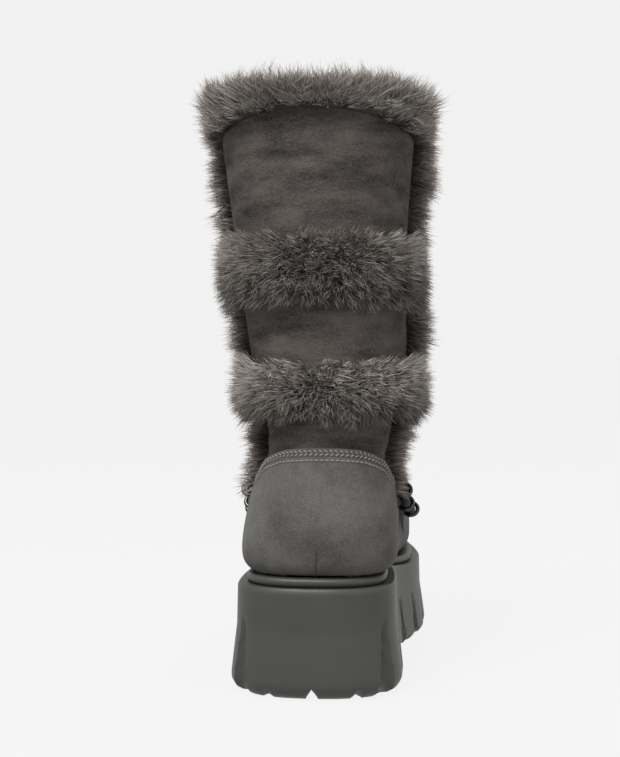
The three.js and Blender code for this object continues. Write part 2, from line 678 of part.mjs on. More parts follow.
// Where the rings hang along the throat's edge, in side view
const LACE_RINGS = [
  { y: 0.33, z: 0.158 },
  { y: 0.415, z: 0.118 },
  { y: 0.505, z: 0.092 },
].map(({ y, z }) => ({ y: alongSole(y), z: fromSeat(z) }));
const LACE_SLOPE = THREE.MathUtils.degToRad(58);
const OVER_INSTEP = new THREE.Vector3(0, Math.cos(LACE_SLOPE), Math.sin(LACE_SLOPE));
const UP_THROAT = new THREE.Vector3(0, -Math.sin(LACE_SLOPE), Math.cos(LACE_SLOPE));
const SIDEWAYS = new THREE.Vector3(1, 0, 0);

// A solid as a three.js mesh.
function meshOf(solid, material) {
  const made = solid.getMesh();
  const geometry = new THREE.BufferGeometry();
  geometry.setAttribute("position", new THREE.BufferAttribute(new Float32Array(made.vertProperties), 3));
  geometry.setIndex([...made.triVerts]);
  geometry.computeVertexNormals();
  return new THREE.Mesh(geometry, material);
}

const lacedForm = meshOf(
  bootForm(TOE_ROW, ANKLE_ROW + 2, SEAM_GAP + OVERLAY),
  new THREE.MeshStandardMaterial({ side: THREE.DoubleSide }),
);

// The furthest place where a line from inside the foot comes out of it, and a distance further.
function outside(from, way, further) {
  const hits = new THREE.Raycaster(from, way).intersectObject(lacedForm);
  return hits.at(-1).point.clone().addScaledVector(way, further);
}

const insideAt = (place) => new THREE.Vector3(0, place.y, place.z);
const ringHeight = 3 * SEAM_GAP + RING_RADIUS;
const ringCentre = (place, side) =>
  outside(insideAt(place), SIDEWAYS.clone().multiplyScalar(side), ringHeight);

function laceRing(place, side, wire) {
  const geometry = new THREE.TorusGeometry(RING_RADIUS - RING_WIRE, wire, 4, 8);
  const turn = new THREE.Quaternion().setFromUnitVectors(new THREE.Vector3(0, 0, 1), UP_THROAT);
  const size = new THREE.Vector3(1, 1, 1);
  return solidOfGeometry(geometry, new THREE.Matrix4().compose(ringCentre(place, side), turn, size));
}

// A suede tab stitched to the eyestay, folded round its ring's wire.
function laceTab(place, side) {
  const face = ringCentre(place, side).addScaledVector(SIDEWAYS, -side * (ringHeight - SEAM_GAP));
  const block = (thick, wide, high, shift) => {
    const middle = face.clone().addScaledVector(SIDEWAYS, (side * thick) / 2);
    const box = new THREE.BoxGeometry(thick, wide, high);
    const turn = new THREE.Matrix4().makeRotationX(LACE_SLOPE - Math.PI / 2);
    const lower = middle.addScaledVector(OVER_INSTEP, -shift);
    return solidOfGeometry(box, new THREE.Matrix4().setPosition(lower).multiply(turn));
  };
  const foot = block(TAB_THICKNESS, TAB_WIDTH, 1.5 * TAB_WIDTH, 0.55 * TAB_WIDTH);
  const fold = block(2 * RING_WIRE + 3 * SEAM_GAP, 0.6 * TAB_WIDTH, 0.5 * TAB_WIDTH, 0);
  const grown = bootForm(INSTEP_ROW - 3, ANKLE_ROW, 2 * SEAM_GAP + OVERLAY);
  return foot.add(fold).subtract(grown).subtract(laceRing(place, side, RING_WIRE + SEAM_GAP));
}

// The way the lace takes: from a ring, through it, over the instep and into the next
const LACE_PATH = [
  { ring: 0, side: -1, way: -1 },
  { ring: 1, side: 1, way: -1 },
  { ring: 2, side: -1, way: -1 },
  { ring: 2, side: 1, way: 1 },
  { ring: 1, side: -1, way: 1 },
  { ring: 0, side: 1, way: 1 },
];
const LACE_STEPS = 6;

// The points of the lace between two of its rings, held off the instep.
function laceSpan(from, to) {
  const through = ({ ring, side, way }, share) =>
    ringCentre(LACE_RINGS[ring], side).addScaledVector(UP_THROAT, way * share * LACE_DIAMETER);
  const points = [through(from, 0), through(from, 0.8)];
  for (let n = 1; n < LACE_STEPS; n++) {
    const t = n / LACE_STEPS;
    const angle = lerp(-0.5, 0.5, t) * Math.PI * to.side;
    const way = OVER_INSTEP.clone().multiplyScalar(Math.cos(angle)).addScaledVector(SIDEWAYS, Math.sin(angle));
    const start = insideAt(LACE_RINGS[from.ring]).lerp(insideAt(LACE_RINGS[to.ring]), t);
    start.addScaledVector(UP_THROAT, from.way * LACE_DIAMETER * (1 - t) - to.way * LACE_DIAMETER * t);
    const lift = RING_RADIUS * Math.abs(2 * t - 1);
    points.push(outside(start, way.normalize(), 0.5 * LACE_DIAMETER + 4 * SEAM_GAP + lift));
  }
  return [...points, through(to, -0.8), through(to, 0.1)];
}

// A round cord through points, its rings turned as little as the bends allow.
function sweptCord(points, radius, sides) {
  const ways = points.map((p, n) => {
    const before = points[Math.max(0, n - 1)];
    const after = points[Math.min(points.length - 1, n + 1)];
    return new THREE.Vector3().subVectors(after, before).normalize();
  });
  let up = SIDEWAYS.clone();
  const rings = points.map((p, n) => {
    up = up.addScaledVector(ways[n], -up.dot(ways[n])).normalize();
    const across = new THREE.Vector3().crossVectors(ways[n], up);
    return Array.from({ length: sides }, (_, k) => {
      const turn = (2 * Math.PI * k) / sides;
      const out = up.clone().multiplyScalar(Math.cos(turn)).addScaledVector(across, Math.sin(turn));
      return p.clone().addScaledVector(out, radius);
    });
  });
  return loft(rings);
}

// The lace through the rings, one joined cord that ends at the top rings.
function laceCrossings() {
  const run = (first, last) => {
    const spans = LACE_PATH.slice(first, last).map((from, n) => laceSpan(from, LACE_PATH[first + n + 1]));
    const inner = spans.map((points, n) => (n + 1 < spans.length ? points.slice(0, -1) : points));
    return sweptCord(inner.flat(), LACE_DIAMETER / 2, 5);
  };
  return run(0, 3).add(run(3, 5));
}

// Materials

const finish = (color, roughness, metalness = 0) =>
  new THREE.MeshStandardMaterial({ color, roughness, metalness });
const RUBBER = finish(0x45453f, 0.55);
const SUEDE = finish(0x6b6762, 0.95);
const SHEEPSKIN = finish(0x4d4845, 0.85);
const FUR = finish(0x5c5753, 1);
const CORD = finish(0x2a2826, 0.8);
const GUNMETAL = finish(0x55534f, 0.35, 1);
const FELT = finish(0x8a857d, 1);

const model = new THREE.Group();

function add(name, solid, material) {
  const mesh = meshOf(solid, material);
  mesh.name = name;
  model.add(mesh);
}

add("outsole", outsole(), RUBBER);
add("midsole", midsole(), RUBBER);
add("insole", insole(), FELT);
add("upper", footUpper(), SUEDE);
add("counter", counter(), SUEDE);
add("eyestay", eyestay(), SUEDE);
add("tongue", tongue(), SHEEPSKIN);
add("shaft", shaft(), SHEEPSKIN);
add("fur_collar", furCollar(), FUR);
add("fur_band_mid", furBand(MID_BAND_BOTTOM, MID_BAND_HEIGHT), FUR);
add("fur_band_low", furBand(LOW_BAND_BOTTOM, LOW_BAND_HEIGHT), FUR);

const EDGE_RUNS = [
  { name: "top", bottom: MID_BAND_BOTTOM + MID_BAND_HEIGHT, top: SHAFT_TOP },
  { name: "mid", bottom: LOW_BAND_BOTTOM + LOW_BAND_HEIGHT, top: MID_BAND_BOTTOM },
  { name: "low", bottom: FUR_EDGE_BOTTOM, top: LOW_BAND_BOTTOM },
];
for (const [sideName, side] of [["outer", -1], ["inner", 1]]) {
  for (const run of EDGE_RUNS) {
    add(`fur_edge_${sideName}_${run.name}`, furEdge(run.bottom + FUR_RUN_GAP, run.top - FUR_RUN_GAP, side), FUR);
  }
  LACE_RINGS.forEach((place, n) => {
    add(`lace_ring_${sideName}_${n + 1}`, laceRing(place, side, RING_WIRE), GUNMETAL);
    add(`lace_tab_${sideName}_${n + 1}`, laceTab(place, side), SUEDE);
  });
}
add("lace_crossings", laceCrossings(), CORD);

// The origin is on the floor, in the middle of the heel's flat tread
model.position.set(0, -HEEL_REST, 0);

export default model;
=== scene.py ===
"""A sheepskin boot for the left foot, dressed for a studio picture from behind.

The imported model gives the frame. The foot, leg and sole are formed again here from the same
sections, smooth and with their seams, and the fur is grown hair by hair.
"""
import logging
import math
from collections.abc import Callable, Sequence
from dataclasses import dataclass, field
from enum import Enum

import bmesh
import bpy
import numpy as np
from mathutils import Matrix, Vector
from mathutils.bvhtree import BVHTree


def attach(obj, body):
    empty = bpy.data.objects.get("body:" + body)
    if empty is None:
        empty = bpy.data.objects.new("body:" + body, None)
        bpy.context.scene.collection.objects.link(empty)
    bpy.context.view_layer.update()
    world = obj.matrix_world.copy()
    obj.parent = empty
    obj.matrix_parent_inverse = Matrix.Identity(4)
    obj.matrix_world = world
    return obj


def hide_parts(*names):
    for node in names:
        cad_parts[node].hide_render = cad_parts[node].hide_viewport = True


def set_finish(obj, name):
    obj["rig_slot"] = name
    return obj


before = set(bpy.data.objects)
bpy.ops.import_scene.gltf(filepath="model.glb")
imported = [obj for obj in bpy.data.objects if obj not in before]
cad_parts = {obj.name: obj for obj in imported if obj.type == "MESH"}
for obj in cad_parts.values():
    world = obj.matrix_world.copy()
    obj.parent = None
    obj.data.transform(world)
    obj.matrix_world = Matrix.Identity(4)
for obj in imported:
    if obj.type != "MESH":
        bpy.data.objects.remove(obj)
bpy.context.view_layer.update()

LOG = logging.getLogger("boot")
MM = 0.001
ROOT = "root"
Array = np.ndarray


class Side(Enum):
    """The side of the foot, as the sign of X on a left boot."""

    OUTER = -1
    INNER = 1


def smooth_step(value: Array | float, low: float, high: float) -> Array:
    """Return 0 below low, 1 above high, and a smooth rise between."""
    t = np.clip((np.asarray(value, float) - low) / (high - low), 0, 1)
    return t * t * (3 - 2 * t)


def signed_power(value: Array, power: Array | float) -> Array:
    """Return the value's size to a power, with the value's sign."""
    return np.sign(value) * np.abs(value) ** power


def blend_rows(table: Array, row: Array) -> Array:
    """Read a table between its rows along a smooth curve through them.

    Args:
        table: One row for each station.
        row: Row numbers, which may be fractions.

    Returns:
        One interpolated row for each number.
    """
    row = np.clip(row, 0, len(table) - 1)
    low = np.minimum(row.astype(int), len(table) - 2)
    t = (row - low)[:, None]
    p0, p1 = table[np.maximum(low - 1, 0)], table[low]
    p2, p3 = table[low + 1], table[np.minimum(low + 2, len(table) - 1)]
    return p1 + 0.5 * t * (p2 - p0 + t * (2 * p0 - 5 * p1 + 4 * p2 - p3 + t * (3 * (p1 - p2) + p3 - p0)))


@dataclass(frozen=True)
class SoleForm:
    """The outline and heights of the sole, in millimetres, with the heel's back near Y = -heel_rest."""

    length: float = 272
    heel_width: float = 83
    ball_width: float = 99
    waist_width: float = 76
    heel_height: float = 55
    platform: float = 44
    toe_spring: float = 12
    heel_rest: float = 40
    flare: float = 3.4
    edge: float = 3.5
    ledge: float = 5.2
    pocket: float = 3
    midsole: float = 6
    midsole_groove: float = 1.2
    heel_length: float = 86
    arch_width: float = 30
    arch_rise: float = 17
    heel_round: float = 36
    heel_power: float = 2.5
    toe_round: float = 74
    toe_power: float = 2.2
    gap: float = 0.3

    def stations(self) -> Array:
        """Return place along the sole, half width and sideways shift at each station."""
        ball = self.ball_width
        return np.array([
            (0.0, self.heel_width / 2, 0),
            (0.16, self.heel_width / 2, 0),
            (0.4, self.waist_width / 2, 0),
            (0.68, ball / 2, 0.02 * ball),
            (0.84, 0.96 * ball / 2, 0.05 * ball),
            (1.0, 0.9 * ball / 2, 0.085 * ball),
        ])

    def half_and_shift(self, y: Array) -> tuple[Array, Array]:
        """Return the half width and the shift at a distance from the back of the heel."""
        rows = self.stations()
        along = np.clip(y / self.length, 0, 1)
        found = np.clip(np.searchsorted(rows[:, 0], along, side="left"), 1, len(rows) - 1)
        a, b = rows[found - 1], rows[found]
        t = np.clip((along - a[:, 0]) / (b[:, 0] - a[:, 0]), 0, 1)
        t = t * t * (3 - 2 * t)
        return a[:, 1] + t * (b[:, 1] - a[:, 1]), a[:, 2] + t * (b[:, 2] - a[:, 2])

    def rounding(self, y: Array) -> Array:
        """Return the share of the full width that is left in the round heel and toe."""
        heel = np.clip(1 - y / self.heel_round, 0, 1)
        toe = np.clip(1 - (self.length - y) / self.toe_round, 0, 1)
        return ((1 - heel ** self.heel_power) ** (1 / self.heel_power)
                * (1 - toe ** self.toe_power) ** (1 / self.toe_power))

    def outline(self, turn: Array, grow: Array | float) -> Array:
        """Return points of the rim seen from above.

        Args:
            turn: Angles round the sole from the back of the heel, first along the inner side.
            grow: How far outside the rim the points lie.

        Returns:
            X and Y of each point, measured from the back of the heel.
        """
        def rim(angle: Array) -> Array:
            y = self.length / 2 * (1 - np.cos(angle))
            half, shift = self.half_and_shift(y)
            return np.stack([shift + np.sign(np.sin(angle).round(9)) * half * self.rounding(y), y], 1)

        step = 2 * math.pi / 260
        along = rim(turn + step) - rim(turn - step)
        along /= np.linalg.norm(along, axis=1)[:, None]
        out = np.stack([along[:, 1], -along[:, 0]], 1)
        return rim(turn) + out * np.broadcast_to(grow, turn.shape)[:, None]

    def toe_lift(self, y: Array) -> Array:
        """Return how far the tread rises towards the toe."""
        return self.toe_spring * np.clip((y / self.length - 0.74) / 0.26, 0, None) ** 2

    def rim_height(self, y: Array) -> Array:
        """Return the height of the sole's upper edge."""
        drop = smooth_step(y / self.length, 0.22, 0.66)
        return self.heel_height + (self.platform - self.heel_height) * drop + 0.7 * self.toe_lift(y)

    def footbed(self, y: Array) -> Array:
        """Return the height of the face that the upper stands on."""
        return self.rim_height(y) - self.pocket + self.gap + self.midsole


@dataclass(frozen=True)
class BootForm:
    """Sections through the foot and leg, from the toe to the collar, in millimetres."""

    sole: SoleForm = field(default_factory=SoleForm)
    shaft_top: float = 300
    collar_width: float = 108
    foot_width: float = 96
    wall: float = 2.6
    overlay: float = 1.5

    # Each row: back_y, back_z, front_y, front_z, half, widest, low, high, side, as shares and powers
    FOOT_ROWS = (
        (0.958, 0, 0.965, 0.028, 0.02, 0.5, 2, 2, 0.07),
        (0.957, 0, 0.962, 0.05, 0.25, 0.5, 2, 2, 0.07),
        (0.946, 0, 0.948, 0.105, 0.52, 0.4, 3, 2.2, 0.065),
        (0.915, 0, 0.915, 0.155, 0.72, 0.36, 4, 2.2, 0.055),
        (0.855, 0, 0.85, 0.192, 0.85, 0.33, 4.6, 2.2, 0.032),
        (0.76, 0, 0.745, 0.215, 0.92, 0.3, 5, 2.1, 0.012),
        (0.64, 0, 0.635, 0.248, 0.9, 0.28, 5, 2, 0.002),
        (0.5, 0, 0.552, 0.288, 0.85, 0.27, 4.8, 1.9, 0.004),
        (0.37, 0, 0.525, 0.306, 0.8, 0.26, 4.6, 1.8, 0.004),
        (0.23, 0, 0.508, 0.32, 0.81, 0.25, 4.6, 1.75, 0.006),
        (0.105, 0, 0.495, 0.331, 0.825, 0.24, 4, 1.75, 0.01),
        (0.034, 0.018, 0.484, 0.341, 0.815, 0.26, 3, 1.8, 0.014),
        (0.014, 0.085, 0.475, 0.35, 0.77, 0.32, 2.6, 1.85, 0.022),
        (0.018, 0.16, 0.467, 0.358, 0.71, 0.4, 2.3, 1.9, 0.032),
    )
    LEG_ROWS = (
        (0.034, 0.235, 0.46, 0.366, 0.66, 0.47, 2.1, 2, 0.04),
        (0.048, 0.3, 0.454, 0.374, 0.69, 0.5, 2.1, 2, 0.045),
        (0.05, 0.37, 0.45, 0.385, 0.76, 0.5, 2.1, 2.05, 0.045),
        (0.044, 0.45, 0.446, 0.452, 0.83, 0.5, 2.1, 2.1, 0.04),
        (0.022, 0.73, 0.442, 0.73, 0.915, 0.5, 2.15, 2.1, 0),
        (-0.002, 1, 0.447, 1, 1.04, 0.5, 2.15, 2.1, -0.015),
    )

    @property
    def seat(self) -> float:
        """The height of the heel seat."""
        return float(self.sole.footbed(np.zeros(1))[0]) + self.sole.gap

    @property
    def leg_height(self) -> float:
        """The height from the heel seat to the shaft's top edge."""
        return self.shaft_top - self.seat

    @property
    def last_row(self) -> int:
        """The number of the collar's row."""
        return len(self.FOOT_ROWS) + len(self.LEG_ROWS) - 1

    def table(self) -> Array:
        """Return the sections as real sizes: back and front points, half width, powers and shift."""
        share = np.array(self.FOOT_ROWS + self.LEG_ROWS, float)
        halves = self.foot_width / 2, self.collar_width / 2
        wide = np.repeat(halves, [len(self.FOOT_ROWS), len(self.LEG_ROWS)])
        length = self.sole.length
        bed_back = self.sole.footbed(share[:, 0] * length) + self.sole.gap
        back_z = np.where(share[:, 1] == 0, bed_back, self.seat + share[:, 1] * self.leg_height)
        drop = self.seat - self.sole.footbed(share[:, 2] * length) - self.sole.gap
        foot_share = 1 - smooth_step(share[:, 3], 0.28, 0.4)
        front_z = self.seat + share[:, 3] * self.leg_height - drop * foot_share
        return np.stack([share[:, 0] * length, back_z, share[:, 2] * length, front_z, share[:, 4] * wide,
                         share[:, 5], share[:, 6], share[:, 7], share[:, 8] * self.collar_width], 1)

    def points(self, row: Array, turn: Array, grow: Array | float) -> Array:
        """Return points of the form's surface in the frame.

        Args:
            row: Section numbers, which may be fractions.
            turn: Angles round the section from its back, first along the inner side.
            grow: How far outside the surface the points lie.

        Returns:
            One point for each row and turn, in millimetres.
        """
        back_y, back_z, front_y, front_z, half, widest, low, high, side = blend_rows(self.table(), row).T
        along = np.stack([front_y - back_y, front_z - back_z], 1)
        length = np.linalg.norm(along, axis=1)
        unit = along / length[:, None]
        c, s = np.sin(turn), -np.cos(turn)
        power = 2 / np.where(s < 0, low, high)
        reach = np.where(s < 0, widest, 1 - widest)
        place = -grow + (length + 2 * grow) * (widest + reach * signed_power(s, power))
        across = side + (half + grow) * signed_power(c, power)
        return np.stack([across, back_y + unit[:, 0] * place - self.sole.heel_rest,
                         back_z + unit[:, 1] * place], 1)

    def row_at(self, height: float) -> float:
        """Return the row whose back lies at a height above the heel seat."""
        heights = self.table()[:, 1]
        rows = np.linspace(len(self.FOOT_ROWS) - 3, self.last_row, 400)
        return float(np.interp(height, blend_rows(heights[:, None], rows)[:, 0], rows))


BOOT = BootForm()
SOLE = BOOT.sole
SHAFT_GROW = -(BOOT.wall + SOLE.gap)
TONGUE_GROW = SHAFT_GROW - BOOT.wall - SOLE.gap
OVERLAY_GROW = SOLE.gap + BOOT.overlay
FULL_TURN = 2 * math.pi
FOOT_MIDDLE = Vector((0, 0.06, 0.09))
LEG_MIDDLE = Vector((0, 0.02, 0.2))
WELD = 1e-6
GRAIN_RELIEF = 0.0004

Place = Callable[[Array, Array], Array]


def link(name: str, mesh: bpy.types.Mesh, slot: str, nodes: Sequence[str]) -> bpy.types.Object:
    """Put a mesh in the scene as a piece that rides on the boot.

    Args:
        name: The piece's name.
        mesh: Its mesh, in metres.
        slot: The record's material slot.
        nodes: The CAD nodes that it stands for.

    Returns:
        The new object.
    """
    piece = bpy.data.objects.new(name, mesh)
    bpy.context.scene.collection.objects.link(piece)
    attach(piece, ROOT)
    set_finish(piece, slot)
    if nodes:
        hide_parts(*nodes)
    LOG.info("%s: %d faces", name, len(mesh.polygons))
    return piece


def grid_mesh(across: int, along: int, place: Place, closed: bool = False) -> bmesh.types.BMesh:
    """Make a grid and lay it on a surface.

    Args:
        across: Number of faces round the surface.
        along: Number of faces along it.
        place: Gives points in millimetres for shares round and along.
        closed: Whether the grid meets itself all the way round.

    Returns:
        The grid, in metres, with its shares kept as UVs.
    """
    bm = bmesh.new()
    bmesh.ops.create_grid(bm, x_segments=across, y_segments=along, size=0.5)
    shares = np.array([v.co[:2] for v in bm.verts]) + 0.5
    layer = bm.loops.layers.uv.new("UVMap")
    for face in bm.faces:
        for loop in face.loops:
            loop[layer].uv = shares[loop.vert.index]
    for vert, point in zip(bm.verts, place(shares[:, 0], shares[:, 1]) * MM):
        vert.co = point
    if closed:
        bmesh.ops.remove_doubles(bm, verts=bm.verts, dist=WELD)
    return bm


def face_outwards(bm: bmesh.types.BMesh, middle: Vector) -> None:
    """Turn an open sheet's faces away from a middle point."""
    votes = sum(f.normal.dot(f.calc_center_median() - middle) * f.calc_area() for f in bm.faces)
    if votes < 0:
        bmesh.ops.reverse_faces(bm, faces=bm.faces)


def finished(bm: bmesh.types.BMesh, name: str, sharp: float = 40) -> bpy.types.Mesh:
    """Turn a bmesh into a smooth mesh with its sharp edges kept.

    Args:
        bm: The bmesh, which is freed.
        name: The mesh's name.
        sharp: The angle in degrees past which an edge stays sharp.

    Returns:
        The mesh.
    """
    mesh = bpy.data.meshes.new(name)
    bm.to_mesh(mesh)
    bm.free()
    mesh.polygons.foreach_set("use_smooth", [True] * len(mesh.polygons))
    mesh.set_sharp_from_angle(angle=math.radians(sharp))
    return mesh


def trim(bm: bmesh.types.BMesh, value: Callable[[Array], Array]) -> None:
    """Cut a sheet along the curve where a function of its points is 0, and keep what is above.

    Args:
        bm: The sheet, in metres.
        value: Gives one number for each point in millimetres.
    """
    verts = list(bm.verts)
    signs = dict(zip(verts, value(np.array([v.co for v in verts]) / MM)))
    cuts = []
    for edge in list(bm.edges):
        a, b = edge.verts
        if signs[a] * signs[b] < 0:
            share = signs[a] / (signs[a] - signs[b])
            cuts.append(bmesh.utils.edge_split(edge, a, share)[1])
    bmesh.ops.connect_verts(bm, verts=cuts)
    middles = np.array([f.calc_center_median() for f in bm.faces]) / MM
    gone = [f for f, kept in zip(bm.faces, value(middles) > 0) if not kept]
    bmesh.ops.delete(bm, geom=gone, context="FACES")


def sewn(name: str, slot: str, nodes: Sequence[str], bm: bmesh.types.BMesh, wall: float,
         sharp: float = 50) -> bpy.types.Object:
    """Give a sheet its wall, inwards, and put it in the scene.

    Args:
        name: The piece's name.
        slot: The record's material slot.
        nodes: The CAD nodes that it stands for.
        bm: The sheet, facing outwards.
        wall: Its thickness in millimetres.
        sharp: The angle in degrees past which an edge stays sharp.

    Returns:
        The piece.
    """
    bmesh.ops.solidify(bm, geom=bm.faces[:], thickness=wall * MM)
    return link(name, finished(bm, name, sharp), slot, nodes)


def under_line(line: Array, y: Array, z: Array) -> Array:
    """Return how far points of a side view lie under a line, and less than 0 above it.

    Args:
        line: The line's corners, from back to front.
        y: The points' places along the boot.
        z: Their heights.

    Returns:
        A distance for each point.
    """
    points = np.stack([y, z], 1)
    away = np.full(len(y), np.inf)
    for start, end in zip(line[:-1], line[1:]):
        way = end - start
        share = np.clip((points - start) @ way / (way @ way), 0, 1)
        away = np.minimum(away, np.linalg.norm(points - start - share[:, None] * way, axis=1))
    return np.where(z < np.interp(y, line[:, 0], line[:, 1]), away, -away)


class NodeBuilder:
    """Helpers for node trees, so that a finish reads as a short list of parts."""

    def __init__(self, tree: bpy.types.NodeTree) -> None:
        """Keep the tree."""
        self.tree = tree

    def node(self, kind: str, **values: object) -> bpy.types.Node:
        """Add a node and set its own values or its inputs by name, with _ for each space."""
        made = self.tree.nodes.new(kind)
        for key, value in values.items():
            if hasattr(made, key):
                setattr(made, key, value)
            else:
                made.inputs[key.replace("_", " ")].default_value = value
        return made

    def join(self, source: bpy.types.NodeSocket, target: bpy.types.NodeSocket) -> None:
        """Link one socket to another."""
        self.tree.links.new(source, target)


def shaded(name: str, **values: object) -> tuple[bpy.types.Material, bpy.types.Node]:
    """Make a material and set values of its shader's inputs.

    Args:
        name: The material's name.
        values: The inputs' values by name, with _ for each space.

    Returns:
        The material and its shader.
    """
    made = bpy.data.materials.new(name)
    made.use_nodes = True
    shader = made.node_tree.nodes["Principled BSDF"]
    for key, value in values.items():
        shader.inputs[key.replace("_", " ")].default_value = value
    return made, shader


def grain_group() -> bpy.types.ShaderNodeTree:
    """Make the group that mottles a hide or rubber: a colour and a height from two sizes of noise.

    Returns:
        The node group, with inputs for its colours, scales and shares.
    """
    group = bpy.data.node_groups.new("Grain", "ShaderNodeTree")
    kinds = (("Dark", "Color"), ("Light", "Color"), ("Patch Scale", "Float"), ("Nap Scale", "Float"),
             ("Patch Share", "Float"), ("Stretch", "Vector"))
    for name, kind in kinds:
        group.interface.new_socket(name, in_out="INPUT", socket_type=f"NodeSocket{kind}")
    group.interface.new_socket("Color", in_out="OUTPUT", socket_type="NodeSocketColor")
    group.interface.new_socket("Height", in_out="OUTPUT", socket_type="NodeSocketFloat")
    b = NodeBuilder(group)
    source, result = b.node("NodeGroupInput"), b.node("NodeGroupOutput")
    where = b.node("ShaderNodeTexCoord")
    stretch = b.node("ShaderNodeVectorMath", operation="MULTIPLY")
    b.join(where.outputs["Object"], stretch.inputs[0])
    b.join(source.outputs["Stretch"], stretch.inputs[1])
    patch = b.node("ShaderNodeTexNoise", Detail=6.0, Roughness=0.6)
    nap = b.node("ShaderNodeTexNoise", Detail=3.0, Roughness=0.75)
    for texture, scale in ((patch, "Patch Scale"), (nap, "Nap Scale")):
        b.join(stretch.outputs[0], texture.inputs["Vector"])
        b.join(source.outputs[scale], texture.inputs["Scale"])
    mixed = b.node("ShaderNodeMix", data_type="FLOAT")
    b.join(source.outputs["Patch Share"], mixed.inputs["Factor"])
    b.join(nap.outputs["Fac"], mixed.inputs["A"])
    b.join(patch.outputs["Fac"], mixed.inputs["B"])
    spread = b.node("ShaderNodeMapRange", interpolation_type="SMOOTHSTEP", From_Min=0.3, From_Max=0.7)
    b.join(mixed.outputs["Result"], spread.inputs["Value"])
    tint = b.node("ShaderNodeMix", data_type="RGBA")
    b.join(spread.outputs["Result"], tint.inputs["Factor"])
    b.join(source.outputs["Dark"], tint.inputs[6])
    b.join(source.outputs["Light"], tint.inputs[7])
    b.join(tint.outputs[2], result.inputs["Color"])
    b.join(mixed.outputs["Result"], result.inputs["Height"])
    return group


@dataclass(frozen=True)
class Finish:
    """A mottled finish: its colours, the sizes of its noise, gloss and relief."""

    name: str
    dark: tuple[float, float, float]
    light: tuple[float, float, float]
    patch: float
    nap: float
    share: float
    roughness: float
    metallic: float = 0.0
    sheen: float = 0.0
    bump: float = 0.15
    specular: float = 0.3
    stretch: tuple[float, float, float] = (1, 1, 1)

    def material(self, group: bpy.types.ShaderNodeTree) -> bpy.types.Material:
        """Build the material.

        Args:
            group: The grain group.

        Returns:
            A new material.
        """
        made, shader = shaded(self.name, Roughness=self.roughness, Metallic=self.metallic,
                              Sheen_Weight=self.sheen, Sheen_Roughness=0.6, Specular_IOR_Level=self.specular)
        b = NodeBuilder(made.node_tree)
        grain = b.node("ShaderNodeGroup", node_tree=group)
        values = {"Dark": (*self.dark, 1), "Light": (*self.light, 1), "Patch Scale": self.patch,
                  "Nap Scale": self.nap, "Patch Share": self.share, "Stretch": self.stretch}
        for key, value in values.items():
            grain.inputs[key].default_value = value
        bump = b.node("ShaderNodeBump", Strength=self.bump, Distance=GRAIN_RELIEF)
        b.join(grain.outputs["Height"], bump.inputs["Height"])
        b.join(grain.outputs["Color"], shader.inputs["Base Color"])
        b.join(bump.outputs["Normal"], shader.inputs["Normal"])
        return made


FINISHES = (
    Finish("rubber", (0.025, 0.0257, 0.0214), (0.032, 0.0328, 0.0282), 30, 1500, 0.5, 0.5,
           bump=0.06, specular=0.4),
    Finish("suede", (0.028, 0.0265, 0.025), (0.102, 0.0975, 0.0925), 34, 1500, 0.5, 0.95,
           sheen=0.04, bump=0.7, specular=0.08),
    Finish("sheepskin", (0.010, 0.0085, 0.0078), (0.091, 0.0795, 0.0723), 30, 700, 0.55, 0.9,
           bump=0.7, specular=0.08, stretch=(1, 1, 3)),
    Finish("felt", (0.16, 0.15, 0.14), (0.24, 0.225, 0.21), 120, 2500, 0.4, 1.0,
           sheen=0.2, bump=0.6, specular=0.1),
    Finish("cord", (0.012, 0.012, 0.011), (0.03, 0.029, 0.027), 700, 2500, 0.5, 0.75, sheen=0.1, bump=0.6),
    Finish("gunmetal", (0.03, 0.029, 0.028), (0.06, 0.058, 0.055), 200, 1500, 0.5, 0.22, 1.0,
           bump=0.03, specular=0.5),
    Finish("thread", (0.11, 0.106, 0.1), (0.17, 0.165, 0.155), 900, 3000, 0.5, 0.8, bump=0.3),
    # A dark finish for the painted shade in the furrow under the braided stitches.
    Finish("seam", (0.03, 0.028, 0.026), (0.06, 0.057, 0.053), 300, 1800, 0.5, 0.95, bump=0.5),
)


def fur_material() -> bpy.types.Material:
    """Build the fur's material: dark at the roots, pale at the tips, each hair a little different, with
    painted light and shade from its patch.

    Returns:
        A new material that reads the hairs' own attribute.
    """
    made, shader = shaded("fur", Roughness=0.75, Specular_IOR_Level=0.15)
    b = NodeBuilder(made.node_tree)
    hair = b.node("ShaderNodeAttribute", attribute_name="hair")
    parts = b.node("ShaderNodeSeparateColor")
    b.join(hair.outputs["Color"], parts.inputs[0])
    ramp = b.node("ShaderNodeValToRGB")
    stops = ramp.color_ramp.elements
    stops[0].position, stops[0].color = 0.0, (0.02, 0.018, 0.0165, 1)
    stops[1].position, stops[1].color = 1.0, (0.34, 0.309, 0.282, 1)
    middle = stops.new(0.5)
    middle.color = (0.105, 0.094, 0.0855, 1)
    b.join(parts.outputs[0], ramp.inputs["Fac"])
    shade = b.node("ShaderNodeMix", data_type="RGBA", blend_type="MULTIPLY", Factor=1.0)
    b.join(ramp.outputs["Color"], shade.inputs[6])
    b.join(parts.outputs[1], shade.inputs[7])
    b.join(shade.outputs[2], shader.inputs["Base Color"])
    return made


